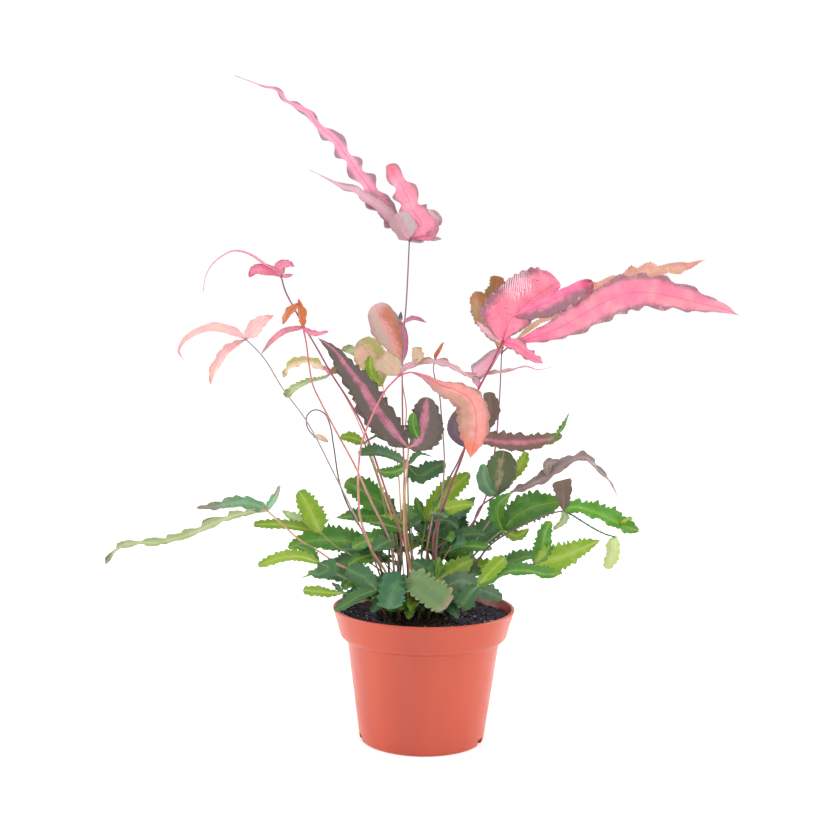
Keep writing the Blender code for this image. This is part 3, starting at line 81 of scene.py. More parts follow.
def makeStage():
    scene = bpy.context.scene
    scene.view_settings.view_transform = "Standard"
    scene.view_settings.look = "None"
    scene.world = bpy.data.worlds.new("surround")
    scene.world.use_nodes = True
    sky = scene.world.node_tree.nodes["Background"]
    sky.inputs["Color"].default_value = stage["surround"]
    sky.inputs["Strength"].default_value = stage["surroundStrength"]
    for name, (place, aimHeight, size, watts) in stage["lights"].items():
        data = bpy.data.lights.new(name, "AREA")
        data.shape, data.size, data.energy = "DISK", size, watts
        light = bpy.data.objects.new(name, data)
        light.location = place
        light.rotation_euler = (Vector((0, 0, aimHeight)) - Vector(place)).to_track_quat("-Z", "Y").to_euler()
        scene.collection.objects.link(light)
    reach = stage["floorReach"]
    corners = [(-reach, -reach, 0), (reach, -reach, 0), (reach, reach, 0), (-reach, reach, 0)]
    floorPlane = addMesh("floor", corners, [(0, 1, 2, 3)])
    paper, shader, _ = newFinish("paper")
    shader.inputs["Base Color"].default_value = stage["floorWhite"]
    shader.inputs["Roughness"].default_value = 0.9
    shader.inputs["Specular IOR Level"].default_value = 0.1
    shader.inputs["Emission Color"].default_value = (1.0, 1.0, 1.0, 1.0)
    shader.inputs["Emission Strength"].default_value = stage["floorGlow"]
    floorPlane.data.materials.append(paper)


# Small helpers


def addMesh(name, points, faces, edges=()):
    mesh = bpy.data.meshes.new(name)
    mesh.from_pydata([tuple(point) for point in points], edges, faces)
    mesh.update()
    obj = bpy.data.objects.new(name, mesh)
    bpy.context.scene.collection.objects.link(obj)
    return obj


def tint(red, green, blue):
    # A colour as it shows on screen, 0 to 255, turned into the light values that a shader takes
    def straight(value):
        value /= 255
        return value / 12.92 if value <= 0.04045 else ((value + 0.055) / 1.055) ** 2.4
    return (straight(red), straight(green), straight(blue), 1.0)


def plainMesh(obj):
    # What the modifiers make becomes the object's own mesh, and they are removed
    graph = bpy.context.evaluated_depsgraph_get()
    mesh = bpy.data.meshes.new_from_object(obj.evaluated_get(graph))
    mesh.name = obj.name
    obj.modifiers.clear()
    obj.data = mesh
    return obj


def joinPieces(name, parts):
    bpy.context.view_layer.update()
    with bpy.context.temp_override(active_object=parts[0], selected_editable_objects=parts):
        bpy.ops.object.join()
    parts[0].name = parts[0].data.name = name
    return parts[0]


def dress(piece, slotName, *nodes):
    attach(piece, "root")
    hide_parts(*nodes)


# Node helpers, for geometry trees and materials alike


def feed(tree, socket, value):
    if isinstance(value, bpy.types.NodeSocket):
        tree.links.new(value, socket)
    elif value is not None:
        socket.default_value = value


def math(tree, operation, *values):
    node = tree.nodes.new("ShaderNodeMath")
    node.operation = operation
    for socket, value in zip(node.inputs, values):
        feed(tree, socket, value)
    return node.outputs[0]


def scaled(tree, vector, amount):
    node = tree.nodes.new("ShaderNodeVectorMath")
    node.operation = "SCALE"
    feed(tree, node.inputs[0], vector)
    feed(tree, node.inputs["Scale"], amount)
    return node.outputs[0]


def summed(tree, *vectors):
    total = vectors[0]
    for vector in vectors[1:]:
        node = tree.nodes.new("ShaderNodeVectorMath")
        feed(tree, node.inputs[0], total)
        feed(tree, node.inputs[1], vector)
        total = node.outputs[0]
    return total


def ramped(tree, value, low, high, toLow=0.0, toHigh=1.0, smooth=True):
    # The value between low and high, spread over toLow to toHigh and held beyond them
    node = tree.nodes.new("ShaderNodeMapRange")
    node.interpolation_type = "SMOOTHSTEP" if smooth else "LINEAR"
    for socket, given in zip(node.inputs, (value, low, high, toLow, toHigh)):
        feed(tree, socket, given)
    return node.outputs[0]


def newFinish(name):
    finish = bpy.data.materials.new(name)
    finish.use_nodes = True
    tree = finish.node_tree
    return finish, tree.nodes["Principled BSDF"], tree


def mixed(tree, share, first, second, blend="MIX"):
    node = tree.nodes.new("ShaderNodeMix")
    node.data_type = "RGBA"
    node.blend_type = blend
    feed(tree, node.inputs["Factor"], share)
    feed(tree, node.inputs["A"], first)
    feed(tree, node.inputs["B"], second)
    return node.outputs["Result"]


def mottle(tree, size, detail=3.0, roughness=0.55, stretch=None, vector=None):
    # Noise whose patches are about this many mm across
    if vector is None:
        vector = tree.nodes.new("ShaderNodeTexCoord").outputs["Object"]
    if stretch:
        mapping = tree.nodes.new("ShaderNodeMapping")
        mapping.inputs["Scale"].default_value = stretch
        tree.links.new(vector, mapping.inputs["Vector"])
        vector = mapping.outputs["Vector"]
    node = tree.nodes.new("ShaderNodeTexNoise")
    node.inputs["Scale"].default_value = 1000.0 / size
    node.inputs["Detail"].default_value = detail
    node.inputs["Roughness"].default_value = roughness
    tree.links.new(vector, node.inputs["Vector"])
    return node.outputs["Fac"]


def stored(tree, name, output="Fac"):
    # An attribute of the mesh, in a material
    node = tree.nodes.new("ShaderNodeAttribute")
    node.attribute_name = name
    return node.outputs[output]


def bumped(tree, shader, height, depth, strength=1.0):
    node = tree.nodes.new("ShaderNodeBump")
    node.inputs["Distance"].default_value = depth * mm
    node.inputs["Strength"].default_value = strength
    tree.links.new(height, node.inputs["Height"])
    tree.links.new(node.outputs["Normal"], shader.inputs["Normal"])


# Pot: a thin moulded nursery pot with a stepped collar
pot = {
    "rimRadius": 60.0,
    "rimHeight": 88.5,
    "collarFootRadius": 54.9,
    "collarFootHeight": 70.6,
    "bodyTopRadius": 50.4,
    "bodyTopHeight": 68.0,
    "baseRadius": 41.2,
    "baseRound": 1.8,
    "wall": 1.3,
    "floor": 2.2,
    "segments": 144,
    "drainHoles": 4,
    "drainRadius": 3.5,
    "drainRing": 24.0,
    "slotTurns": (193, 338, 22, 167),
    "slotSize": (7.0, 8.5, 4.6),
    "clay": tint(180, 68, 40),
    "clayDeep": tint(171, 62, 38),
    "clayPale": tint(196, 90, 62),
    "dust": tint(96, 62, 50),
}


def roundCorner(centre, radius, startTurn, endTurn, steps=6):
    turns = [radians(startTurn + (endTurn - startTurn) * i / steps) for i in range(steps + 1)]
    return [(centre[0] + radius * cos(turn), centre[1] + radius * sin(turn)) for turn in turns]


def potProfile():
    # (radius, height) from the middle of the underside, up the outside, over the rim and down the inside
    top, wall = pot["rimHeight"], pot["wall"]
    base = pot["baseRadius"]
    rise = (pot["bodyTopRadius"] - base) / pot["bodyTopHeight"]
    outside = [(0.0, 0.0), (base * 0.5, 0.0)]
    outside += roundCorner((base - pot["baseRound"], pot["baseRound"]), pot["baseRound"], -90, -8)
    shoulder = pot["bodyTopHeight"] - 2.4
    outside += [(base + rise * height, height) for height in (20.0, 40.0, shoulder)]
    outside += [(pot["bodyTopRadius"] + 0.15, shoulder + 1.3), (pot["bodyTopRadius"] + 0.8, shoulder + 2.3)]
    outside += [(pot["collarFootRadius"] - 1.5, pot["collarFootHeight"] - 1.7)]
    outside += [(pot["collarFootRadius"] - 0.3, pot["collarFootHeight"] - 0.6)]
    outside += [(pot["collarFootRadius"] + 0.35, pot["collarFootHeight"] + 0.9)]
    outside += [(pot["collarFootRadius"] + 0.75, pot["collarFootHeight"] + 2.6)]
    outside += [(pot["rimRadius"] - 1.05, top - 4.0), (pot["rimRadius"] - 0.25, top - 1.6)]
    outside += roundCorner((pot["rimRadius"] - 0.8, top - 0.8), 0.8, 0, 90)
    inside = roundCorner((pot["rimRadius"] - wall - 0.2, top - 0.7), 0.7, 90, 180)
    inside += [(pot["collarFootRadius"] - wall + 0.3, pot["collarFootHeight"] + 2.0)]
    inside += [(pot["bodyTopRadius"] - wall, pot["bodyTopHeight"] - 1.0)]
    inside += [(base - wall + rise * pot["floor"], pot["floor"] + 0.8), (base - wall - 1.0, pot["floor"])]
    return outside + inside + [(0.0, pot["floor"])]


def lathe(name, profile, segments):
    work = bmesh.new()
    verts = [work.verts.new((radius * mm, 0.0, height * mm)) for radius, height in profile]
    edges = [work.edges.new(pair) for pair in zip(verts, verts[1:])]
    bmesh.ops.spin(work, geom=verts + edges, cent=(0, 0, 0), axis=(0, 0, 1), angle=tau, steps=segments,
                   use_merge=True, use_duplicate=False)
    bmesh.ops.remove_doubles(work, verts=work.verts, dist=1e-6)
    bmesh.ops.recalc_face_normals(work, faces=work.faces)
    obj = addMesh(name, [], [])
    work.to_mesh(obj.data)
    work.free()
    return obj


def potFinish():
    finish, shader, tree = newFinish("clayPlastic")
    broad = mottle(tree, 38.0, 2.0, stretch=(1.0, 1.0, 0.35))
    colour = mixed(tree, ramped(tree, broad, 0.35, 0.65), pot["clayDeep"], pot["clay"])
    # Scuffs and a chalky bloom, thin and rare
    scuff = mottle(tree, 2.6, 6.0, 0.7, stretch=(1.0, 1.0, 0.5))
    colour = mixed(tree, ramped(tree, scuff, 0.66, 0.8, 0.0, 0.28), colour, pot["clayPale"])
    # Soil dust in dark specks, thickest at the rim and fading out 5 mm below it
    place = tree.nodes.new("ShaderNodeSeparateXYZ")
    tree.links.new(tree.nodes.new("ShaderNodeTexCoord").outputs["Object"], place.inputs[0])
    nearRim = ramped(tree, place.outputs["Z"], (pot["rimHeight"] - 5.0) * mm, pot["rimHeight"] * mm)
    specks = ramped(tree, mottle(tree, 0.9, 2.0), 0.66, 0.72)
    colour = mixed(tree, math(tree, "MULTIPLY", nearRim, math(tree, "MULTIPLY", specks, 0.7)), colour, pot["dust"])
    tree.links.new(colour, shader.inputs["Base Color"])
    rough = ramped(tree, mottle(tree, 12.0, 4.0), 0.3, 0.7, 0.30, 0.40)
    tree.links.new(rough, shader.inputs["Roughness"])
    shader.inputs["Specular IOR Level"].default_value = 0.55
    shader.inputs["Subsurface Weight"].default_value = 0.12
    shader.inputs["Subsurface Radius"].default_value = (1.0, 0.35, 0.2)
    shader.inputs["Subsurface Scale"].default_value = 0.002
    grain = math(tree, "ADD", mottle(tree, 0.55, 2.0), math(tree, "MULTIPLY", mottle(tree, 26.0, 1.0), 2.5))
    bumped(tree, shader, grain, 0.035, 0.5)
    return finish


def makePot():
    piece = lathe("nurseryPot", potProfile(), pot["segments"])
    cutters = bpy.data.collections.new("potCutters")
    bpy.context.scene.collection.children.link(cutters)
    work = bmesh.new()
    for i in range(pot["drainHoles"]):
        turn = tau * (i + 0.5) / pot["drainHoles"]
        place = Matrix.Translation(Vector((pot["drainRing"] * cos(turn), pot["drainRing"] * sin(turn), 1.0)) * mm)
        bmesh.ops.create_cone(work, cap_ends=True, segments=28, radius1=pot["drainRadius"] * mm,
                              radius2=pot["drainRadius"] * mm, depth=9 * mm, matrix=place)
    length, width, height = (size * mm for size in pot["slotSize"])
    for turn in pot["slotTurns"]:
        place = Matrix.Rotation(radians(turn), 4, "Z") @ Matrix.Translation((pot["baseRadius"] * mm, 0, height / 4))
        size = Matrix.Diagonal((length, width, height * 1.5, 1.0))
        bmesh.ops.create_cube(work, size=1.0, matrix=place @ size)
    cutter = addMesh("potCutter", [], [])
    work.to_mesh(cutter.data)
    work.free()
    cut = piece.modifiers.new("drainage", "BOOLEAN")
    cut.operation, cut.solver, cut.object = "DIFFERENCE", "EXACT", cutter
    plainMesh(piece)
    bpy.data.objects.remove(cutter, do_unlink=True)
    bpy.data.collections.remove(cutters)
    piece.data.shade_smooth()
    piece.data.set_sharp_from_angle(angle=radians(50))
    piece.data.materials.clear()
    piece.data.materials.append(potFinish())
    dress(piece, "pot", "pot")
    print("pot made")


# Potting mix: a damp dark bed with crumbs, bark bits and white perlite on it
soil = {
    "top": 79.0,
    "bump": 0.9,
    "gap": 0.2,
    "bankFrom": 38.0,
    "bankWidth": 18.0,
    "bankRise": 3.6,
    "rings": 40,
    "segments": 120,
    "seed": 5,
    # piece: crumbs per square metre, smallest and largest radius in mm, how flat, and its colours
    "crumbs": (170000.0, 0.35, 1.35),
    "barkBits": (9000.0, 0.9, 2.1),
    "perlite": (16000.0, 0.3, 0.9),
    "dark": tint(46, 40, 50),
    "damp": tint(88, 79, 98),
    "bark": tint(84, 60, 46),
    "white": tint(232, 230, 226),
}


def soilHeight(x, y):
    # Banked up a little where it meets the wall
    bank = min(max((Vector((x, y)).length - soil["bankFrom"]) / soil["bankWidth"], 0.0), 1.0)
    waves = sin(0.31 * x + 1.3) * cos(0.27 * y) + 0.6 * sin(0.57 * y + 0.43 * x)
    fine = 0.35 * sin(1.7 * x + 0.4 * y) * sin(1.3 * y - 0.6 * x) + 0.2 * sin(2.9 * x) * cos(3.3 * y)
    return soil["top"] + soil["bump"] * waves + fine + soil["bankRise"] * bank * bank * (3 - 2 * bank)


def soilFinish(name, dark, pale, roughness):
    finish, shader, tree = newFinish(name)
    colour = mixed(tree, ramped(tree, mottle(tree, 1.6, 6.0, 0.7), 0.35, 0.7), dark, pale)
    tree.links.new(colour, shader.inputs["Base Color"])
    shader.inputs["Roughness"].default_value = roughness
    shader.inputs["Specular IOR Level"].default_value = 0.35
    bumped(tree, shader, mottle(tree, 0.8, 8.0, 0.75), 0.5)
    return finish


def crumbTree():
    # Bits scattered over a bed, each a lumpy pebble turned and sized at random
    tree, ids = newTree("crumbs", [("Density", "NodeSocketFloat", 1000.0), ("Smallest", "NodeSocketFloat", 0.001),
                                   ("Largest", "NodeSocketFloat", 0.002), ("Flatness", "NodeSocketFloat", 0.7),
                                   ("Seed", "NodeSocketInt", 1), ("Finish", "NodeSocketMaterial", None)])
    given = tree.nodes.new("NodeGroupInput").outputs
    points = tree.nodes.new("GeometryNodeDistributePointsOnFaces")
    tree.links.new(given["Geometry"], points.inputs["Mesh"])
    tree.links.new(given["Density"], points.inputs["Density"])
    tree.links.new(given["Seed"], points.inputs["Seed"])
    pebble = tree.nodes.new("GeometryNodeMeshIcoSphere")
    pebble.inputs["Radius"].default_value = 1.0
    pebble.inputs["Subdivisions"].default_value = 1
    scatter = tree.nodes.new("GeometryNodeInstanceOnPoints")
    tree.links.new(points.outputs["Points"], scatter.inputs["Points"])
    tree.links.new(pebble.outputs["Mesh"], scatter.inputs["Instance"])
    turn = tree.nodes.new("FunctionNodeRandomValue")
    turn.data_type = "FLOAT_VECTOR"
    turn.inputs["Max"].default_value = (tau, tau, tau)
    tree.links.new(given["Seed"], turn.inputs["Seed"])
    tree.links.new(turn.outputs["Value"], scatter.inputs["Rotation"])
    size = tree.nodes.new("FunctionNodeRandomValue")
    size.data_type = "FLOAT"
    # The second group of sockets is the one for single numbers
    tree.links.new(given["Smallest"], size.inputs[2])
    tree.links.new(given["Largest"], size.inputs[3])
    tree.links.new(given["Seed"], size.inputs["Seed"])
    spread = tree.nodes.new("ShaderNodeCombineXYZ")
    tree.links.new(size.outputs[1], spread.inputs["X"])
    tree.links.new(math(tree, "MULTIPLY", size.outputs[1], 0.8), spread.inputs["Y"])
    tree.links.new(math(tree, "MULTIPLY", size.outputs[1], given["Flatness"]), spread.inputs["Z"])
    tree.links.new(spread.outputs["Vector"], scatter.inputs["Scale"])
    realize = tree.nodes.new("GeometryNodeRealizeInstances")
    tree.links.new(scatter.outputs["Instances"], realize.inputs["Geometry"])
    # Lumps, so that no two crumbs are alike
    lumps = tree.nodes.new("ShaderNodeTexNoise")
    lumps.inputs["Scale"].default_value = 900.0
    away = tree.nodes.new("ShaderNodeVectorMath")
    away.operation = "SUBTRACT"
    tree.links.new(lumps.outputs["Color"], away.inputs[0])
    away.inputs[1].default_value = (0.5, 0.5, 0.5)
    move = tree.nodes.new("GeometryNodeSetPosition")
    tree.links.new(realize.outputs["Geometry"], move.inputs["Geometry"])
    tree.links.new(scaled(tree, away.outputs[0], 1.4 * mm), move.inputs["Offset"])
    finishTree(tree, move.outputs["Geometry"], given["Finish"], smooth=False)
    return tree, ids


def makeSoil():
    # The bed fills the pot, so that it also shows dark through the drainage holes
    inner = pot["wall"] + soil["gap"]
    rise = (pot["bodyTopRadius"] - pot["baseRadius"]) / pot["bodyTopHeight"]
    low = pot["floor"] + soil["gap"]
    sides = [(0.0, low), (pot["baseRadius"] + rise * low - inner - 0.8, low),
             (pot["bodyTopRadius"] - inner - 0.3, pot["bodyTopHeight"] - 2.0),
             (pot["collarFootRadius"] - inner - 0.6, pot["collarFootHeight"] + 2.4)]
    share = (soil["top"] - pot["collarFootHeight"]) / (pot["rimHeight"] - pot["collarFootHeight"])
    edge = pot["collarFootRadius"] + (pot["rimRadius"] - pot["collarFootRadius"]) * share - inner - 0.7
    rings = soil["rings"]
    bed = lathe("pottingMix", sides + [(edge * (rings - i) / rings, soil["top"]) for i in range(rings + 1)],
                soil["segments"])
    for vert in bed.data.vertices:
        if vert.co.z > (soil["top"] - 0.5) * mm:
            vert.co.z = soilHeight(vert.co.x / mm, vert.co.y / mm) * mm
    bed.data.shade_smooth()
    bed.data.materials.append(soilFinish("dampMix", soil["dark"], soil["damp"], 0.8))
    dress(bed, "soil", "soil")

    tree, ids = crumbTree()
    kinds = {
        "crumbs": (0.75, soilFinish("crumb", soil["dark"], soil["damp"], 0.75)),
        "barkBits": (0.35, soilFinish("barkBit", soil["dark"], soil["bark"], 0.85)),
        "perlite": (0.8, soilFinish("perliteGrain", tint(196, 192, 188), soil["white"], 0.7)),
    }
    bedTop = bmesh.new()
    bedTop.from_mesh(bed.data)
    flat = [face for face in bedTop.faces if face.normal.z < 0.5 or face.calc_center_median().z < 0.07]
    bmesh.ops.delete(bedTop, geom=flat, context="FACES")
    for i, (name, (flatness, finish)) in enumerate(kinds.items()):
        density, smallest, largest = soil[name]
        piece = addMesh(name, [], [])
        bedTop.to_mesh(piece.data)
        scatter = piece.modifiers.new("scatter", "NODES")
        scatter.node_group = tree
        inputs = {"Density": density, "Smallest": smallest * mm, "Largest": largest * mm, "Flatness": flatness,
                  "Seed": soil["seed"] + i, "Finish": finish}
        for label, value in inputs.items():
            scatter[ids[label]] = value
        plainMesh(piece)
        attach(piece, "root")
    bedTop.free()
    print("potting mix made")


# Rootstock: a low mound of old frond bases and brown scales
rootstock = {
    "centre": Vector((-6.0, 2.0)),
    "radius": 24.0,
    "rise": 11.0,
    "edgeRise": -1.0,
    "seats": {"A": 4.5, "B": 9.5, "C": 14.5, "D": 19.5},
    "scaleDensity": 260000.0,
    "scaleLength": 4.2,
    "scaleWidth": 1.1,
    "dark": tint(34, 27, 25),
    "brown": tint(74, 54, 40),
    "seed": 11,
}


def crownHeight(radius):
    # The rise used by the stalks' seats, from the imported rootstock
    share = min(radius / rootstock["radius"], 1.0)
    return soil["top"] + 1.5 + (rootstock["rise"] - 1.5) * (1 - share * share)


def scaleTree():
    # Narrow pointed scales that lie over each other and point up and out
    tree, ids = newTree("scales", [("Density", "NodeSocketFloat", 1000.0), ("Length", "NodeSocketFloat", 0.004),
                                   ("Width", "NodeSocketFloat", 0.001), ("Seed", "NodeSocketInt", 1),
                                   ("Finish", "NodeSocketMaterial", None)])
    given = tree.nodes.new("NodeGroupInput").outputs
    points = tree.nodes.new("GeometryNodeDistributePointsOnFaces")
    tree.links.new(given["Geometry"], points.inputs["Mesh"])
    tree.links.new(given["Density"], points.inputs["Density"])
    tree.links.new(given["Seed"], points.inputs["Seed"])
    scale = tree.nodes.new("GeometryNodeMeshCone")
    scale.inputs["Vertices"].default_value = 5
    scale.inputs["Radius Top"].default_value = 0.05
    scale.inputs["Radius Bottom"].default_value = 1.0
    scale.inputs["Depth"].default_value = 1.0
    tilt = tree.nodes.new("FunctionNodeRandomValue")
    tilt.data_type = "FLOAT_VECTOR"
    tilt.inputs["Min"].default_value = (-0.9, -0.9, 0.0)
    tilt.inputs["Max"].default_value = (0.9, 0.9, tau)
    tree.links.new(given["Seed"], tilt.inputs["Seed"])
    scatter = tree.nodes.new("GeometryNodeInstanceOnPoints")
    tree.links.new(points.outputs["Points"], scatter.inputs["Points"])
    tree.links.new(scale.outputs["Mesh"], scatter.inputs["Instance"])
    lean = tree.nodes.new("FunctionNodeRotateRotation")
    lean.rotation_space = "LOCAL"
    tree.links.new(points.outputs["Rotation"], lean.inputs["Rotation"])
    tree.links.new(tilt.outputs["Value"], lean.inputs["Rotate By"])
    tree.links.new(lean.outputs["Rotation"], scatter.inputs["Rotation"])
    grow = tree.nodes.new("FunctionNodeRandomValue")
    grow.data_type = "FLOAT"
    grow.inputs[2].default_value = 0.5
    grow.inputs[3].default_value = 1.15
    spread = tree.nodes.new("ShaderNodeCombineXYZ")
    tree.links.new(math(tree, "MULTIPLY", given["Width"], grow.outputs[1]), spread.inputs["X"])
    tree.links.new(math(tree, "MULTIPLY", given["Width"], 0.35), spread.inputs["Y"])
    tree.links.new(math(tree, "MULTIPLY", given["Length"], grow.outputs[1]), spread.inputs["Z"])
    tree.links.new(spread.outputs["Vector"], scatter.inputs["Scale"])
    realize = tree.nodes.new("GeometryNodeRealizeInstances")
    tree.links.new(scatter.outputs["Instances"], realize.inputs["Geometry"])
    finishTree(tree, realize.outputs["Geometry"], given["Finish"], smooth=False)
    return tree, ids


def makeRootstock():
    radius = rootstock["radius"]
    profile = [(0.0, soil["top"] - 4.0), (radius * 0.99, soil["top"] - 4.0)]
    profile += [(radius * (12 - i) / 12, crownHeight(radius * (12 - i) / 12) - 0.6) for i in range(13)]
    mound = lathe("rootstock", profile, 64)
    for vert in mound.data.vertices:
        x, y = vert.co.x / mm, vert.co.y / mm
        vert.co.z += 0.7 * mm * sin(1.1 * x + 0.8 * y) * cos(0.9 * y - 0.5 * x)
        vert.co.x += rootstock["centre"].x * mm
        vert.co.y += rootstock["centre"].y * mm
    mound.data.shade_smooth()
    finish = soilFinish("scalyBrown", rootstock["dark"], rootstock["brown"], 0.85)
    mound.data.materials.append(finish)
    dress(mound, "crown", "crown")
    tree, ids = scaleTree()
    scales = bpy.data.objects.new("rootScales", mound.data.copy())
    bpy.context.scene.collection.objects.link(scales)
    work = bmesh.new()
    work.from_mesh(scales.data)
    under = [face for face in work.faces if face.normal.z < 0.3]
    bmesh.ops.delete(work, geom=under, context="FACES")
    work.to_mesh(scales.data)
    work.free()
    cover = scales.modifiers.new("scatter", "NODES")
    cover.node_group = tree
    inputs = {"Density": rootstock["scaleDensity"], "Length": rootstock["scaleLength"] * mm,
              "Width": rootstock["scaleWidth"] * mm, "Seed": rootstock["seed"], "Finish": finish}
    for label, value in inputs.items():
        cover[ids[label]] = value
    plainMesh(scales)
    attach(scales, "root")
    print("rootstock made")


# Geometry trees


def newTree(name, inputs):
    tree = bpy.data.node_groups.new(name, "GeometryNodeTree")
    tree.interface.new_socket("Geometry", in_out="INPUT", socket_type="NodeSocketGeometry")
    ids = {}
    for label, kind, value in inputs:
        socket = tree.interface.new_socket(label, in_out="INPUT", socket_type=kind)
        if value is not None:
            socket.default_value = value
        ids[label] = socket.identifier
    tree.interface.new_socket("Geometry", in_out="OUTPUT", socket_type="NodeSocketGeometry")
    return tree, ids


def finishTree(tree, geometry, finish, smooth=True):
    shade = tree.nodes.new("GeometryNodeSetShadeSmooth")
    shade.inputs["Shade Smooth"].default_value = smooth
    tree.links.new(geometry, shade.inputs["Geometry"])
    realize = tree.nodes.new("GeometryNodeRealizeInstances")
    tree.links.new(shade.outputs["Geometry"], realize.inputs["Geometry"])
    paint = tree.nodes.new("GeometryNodeSetMaterial")
    tree.links.new(realize.outputs["Geometry"], paint.inputs["Geometry"])
    tree.links.new(finish, paint.inputs["Material"])
    out = tree.nodes.new("NodeGroupOutput")
    tree.links.new(paint.outputs["Geometry"], out.inputs["Geometry"])


# Fronds. Sides and heights are mm as the photograph shows them, depths are mm behind the pot's axis.
front, frontUp, up = (0.0, -1.0, 0.25), (0.0, -0.8, 0.75), (0.0, -0.25, 1.0)
leftFront, rightFront, backUp = (-0.7, -0.8, 0.4), (0.7, -0.8, 0.4), (0.0, 0.6, 0.9)


def pinna(look, width, depth, rib, face=frontUp, peak=0.42, full=1.5, teeth=6, tooth=1.0, lean=0.7, stagger=False,
          fold=16, ruffle=(0.0, 3.0, 0.0), twist=(0, 0), on=None, sharp=1.2, fine=(0.3, 1.7), skew=0.0):
    # One leaflet: its rib from its foot to its tip, and the rule for its outline and bends. sharp is 1 for pointed
    # teeth, more for round lobes and 0 for waves; fine is the depth and pitch of the small teeth between them;
    # skew makes one side of the rib wider than the other
    return dict(look=look, width=width, depth=depth, rib=rib, face=face, peak=peak, full=full, teeth=teeth,
                tooth=tooth, lean=lean, stagger=stagger, fold=fold, ruffle=ruffle, twist=twist, on=on, sharp=sharp,
                fine=fine, skew=skew)


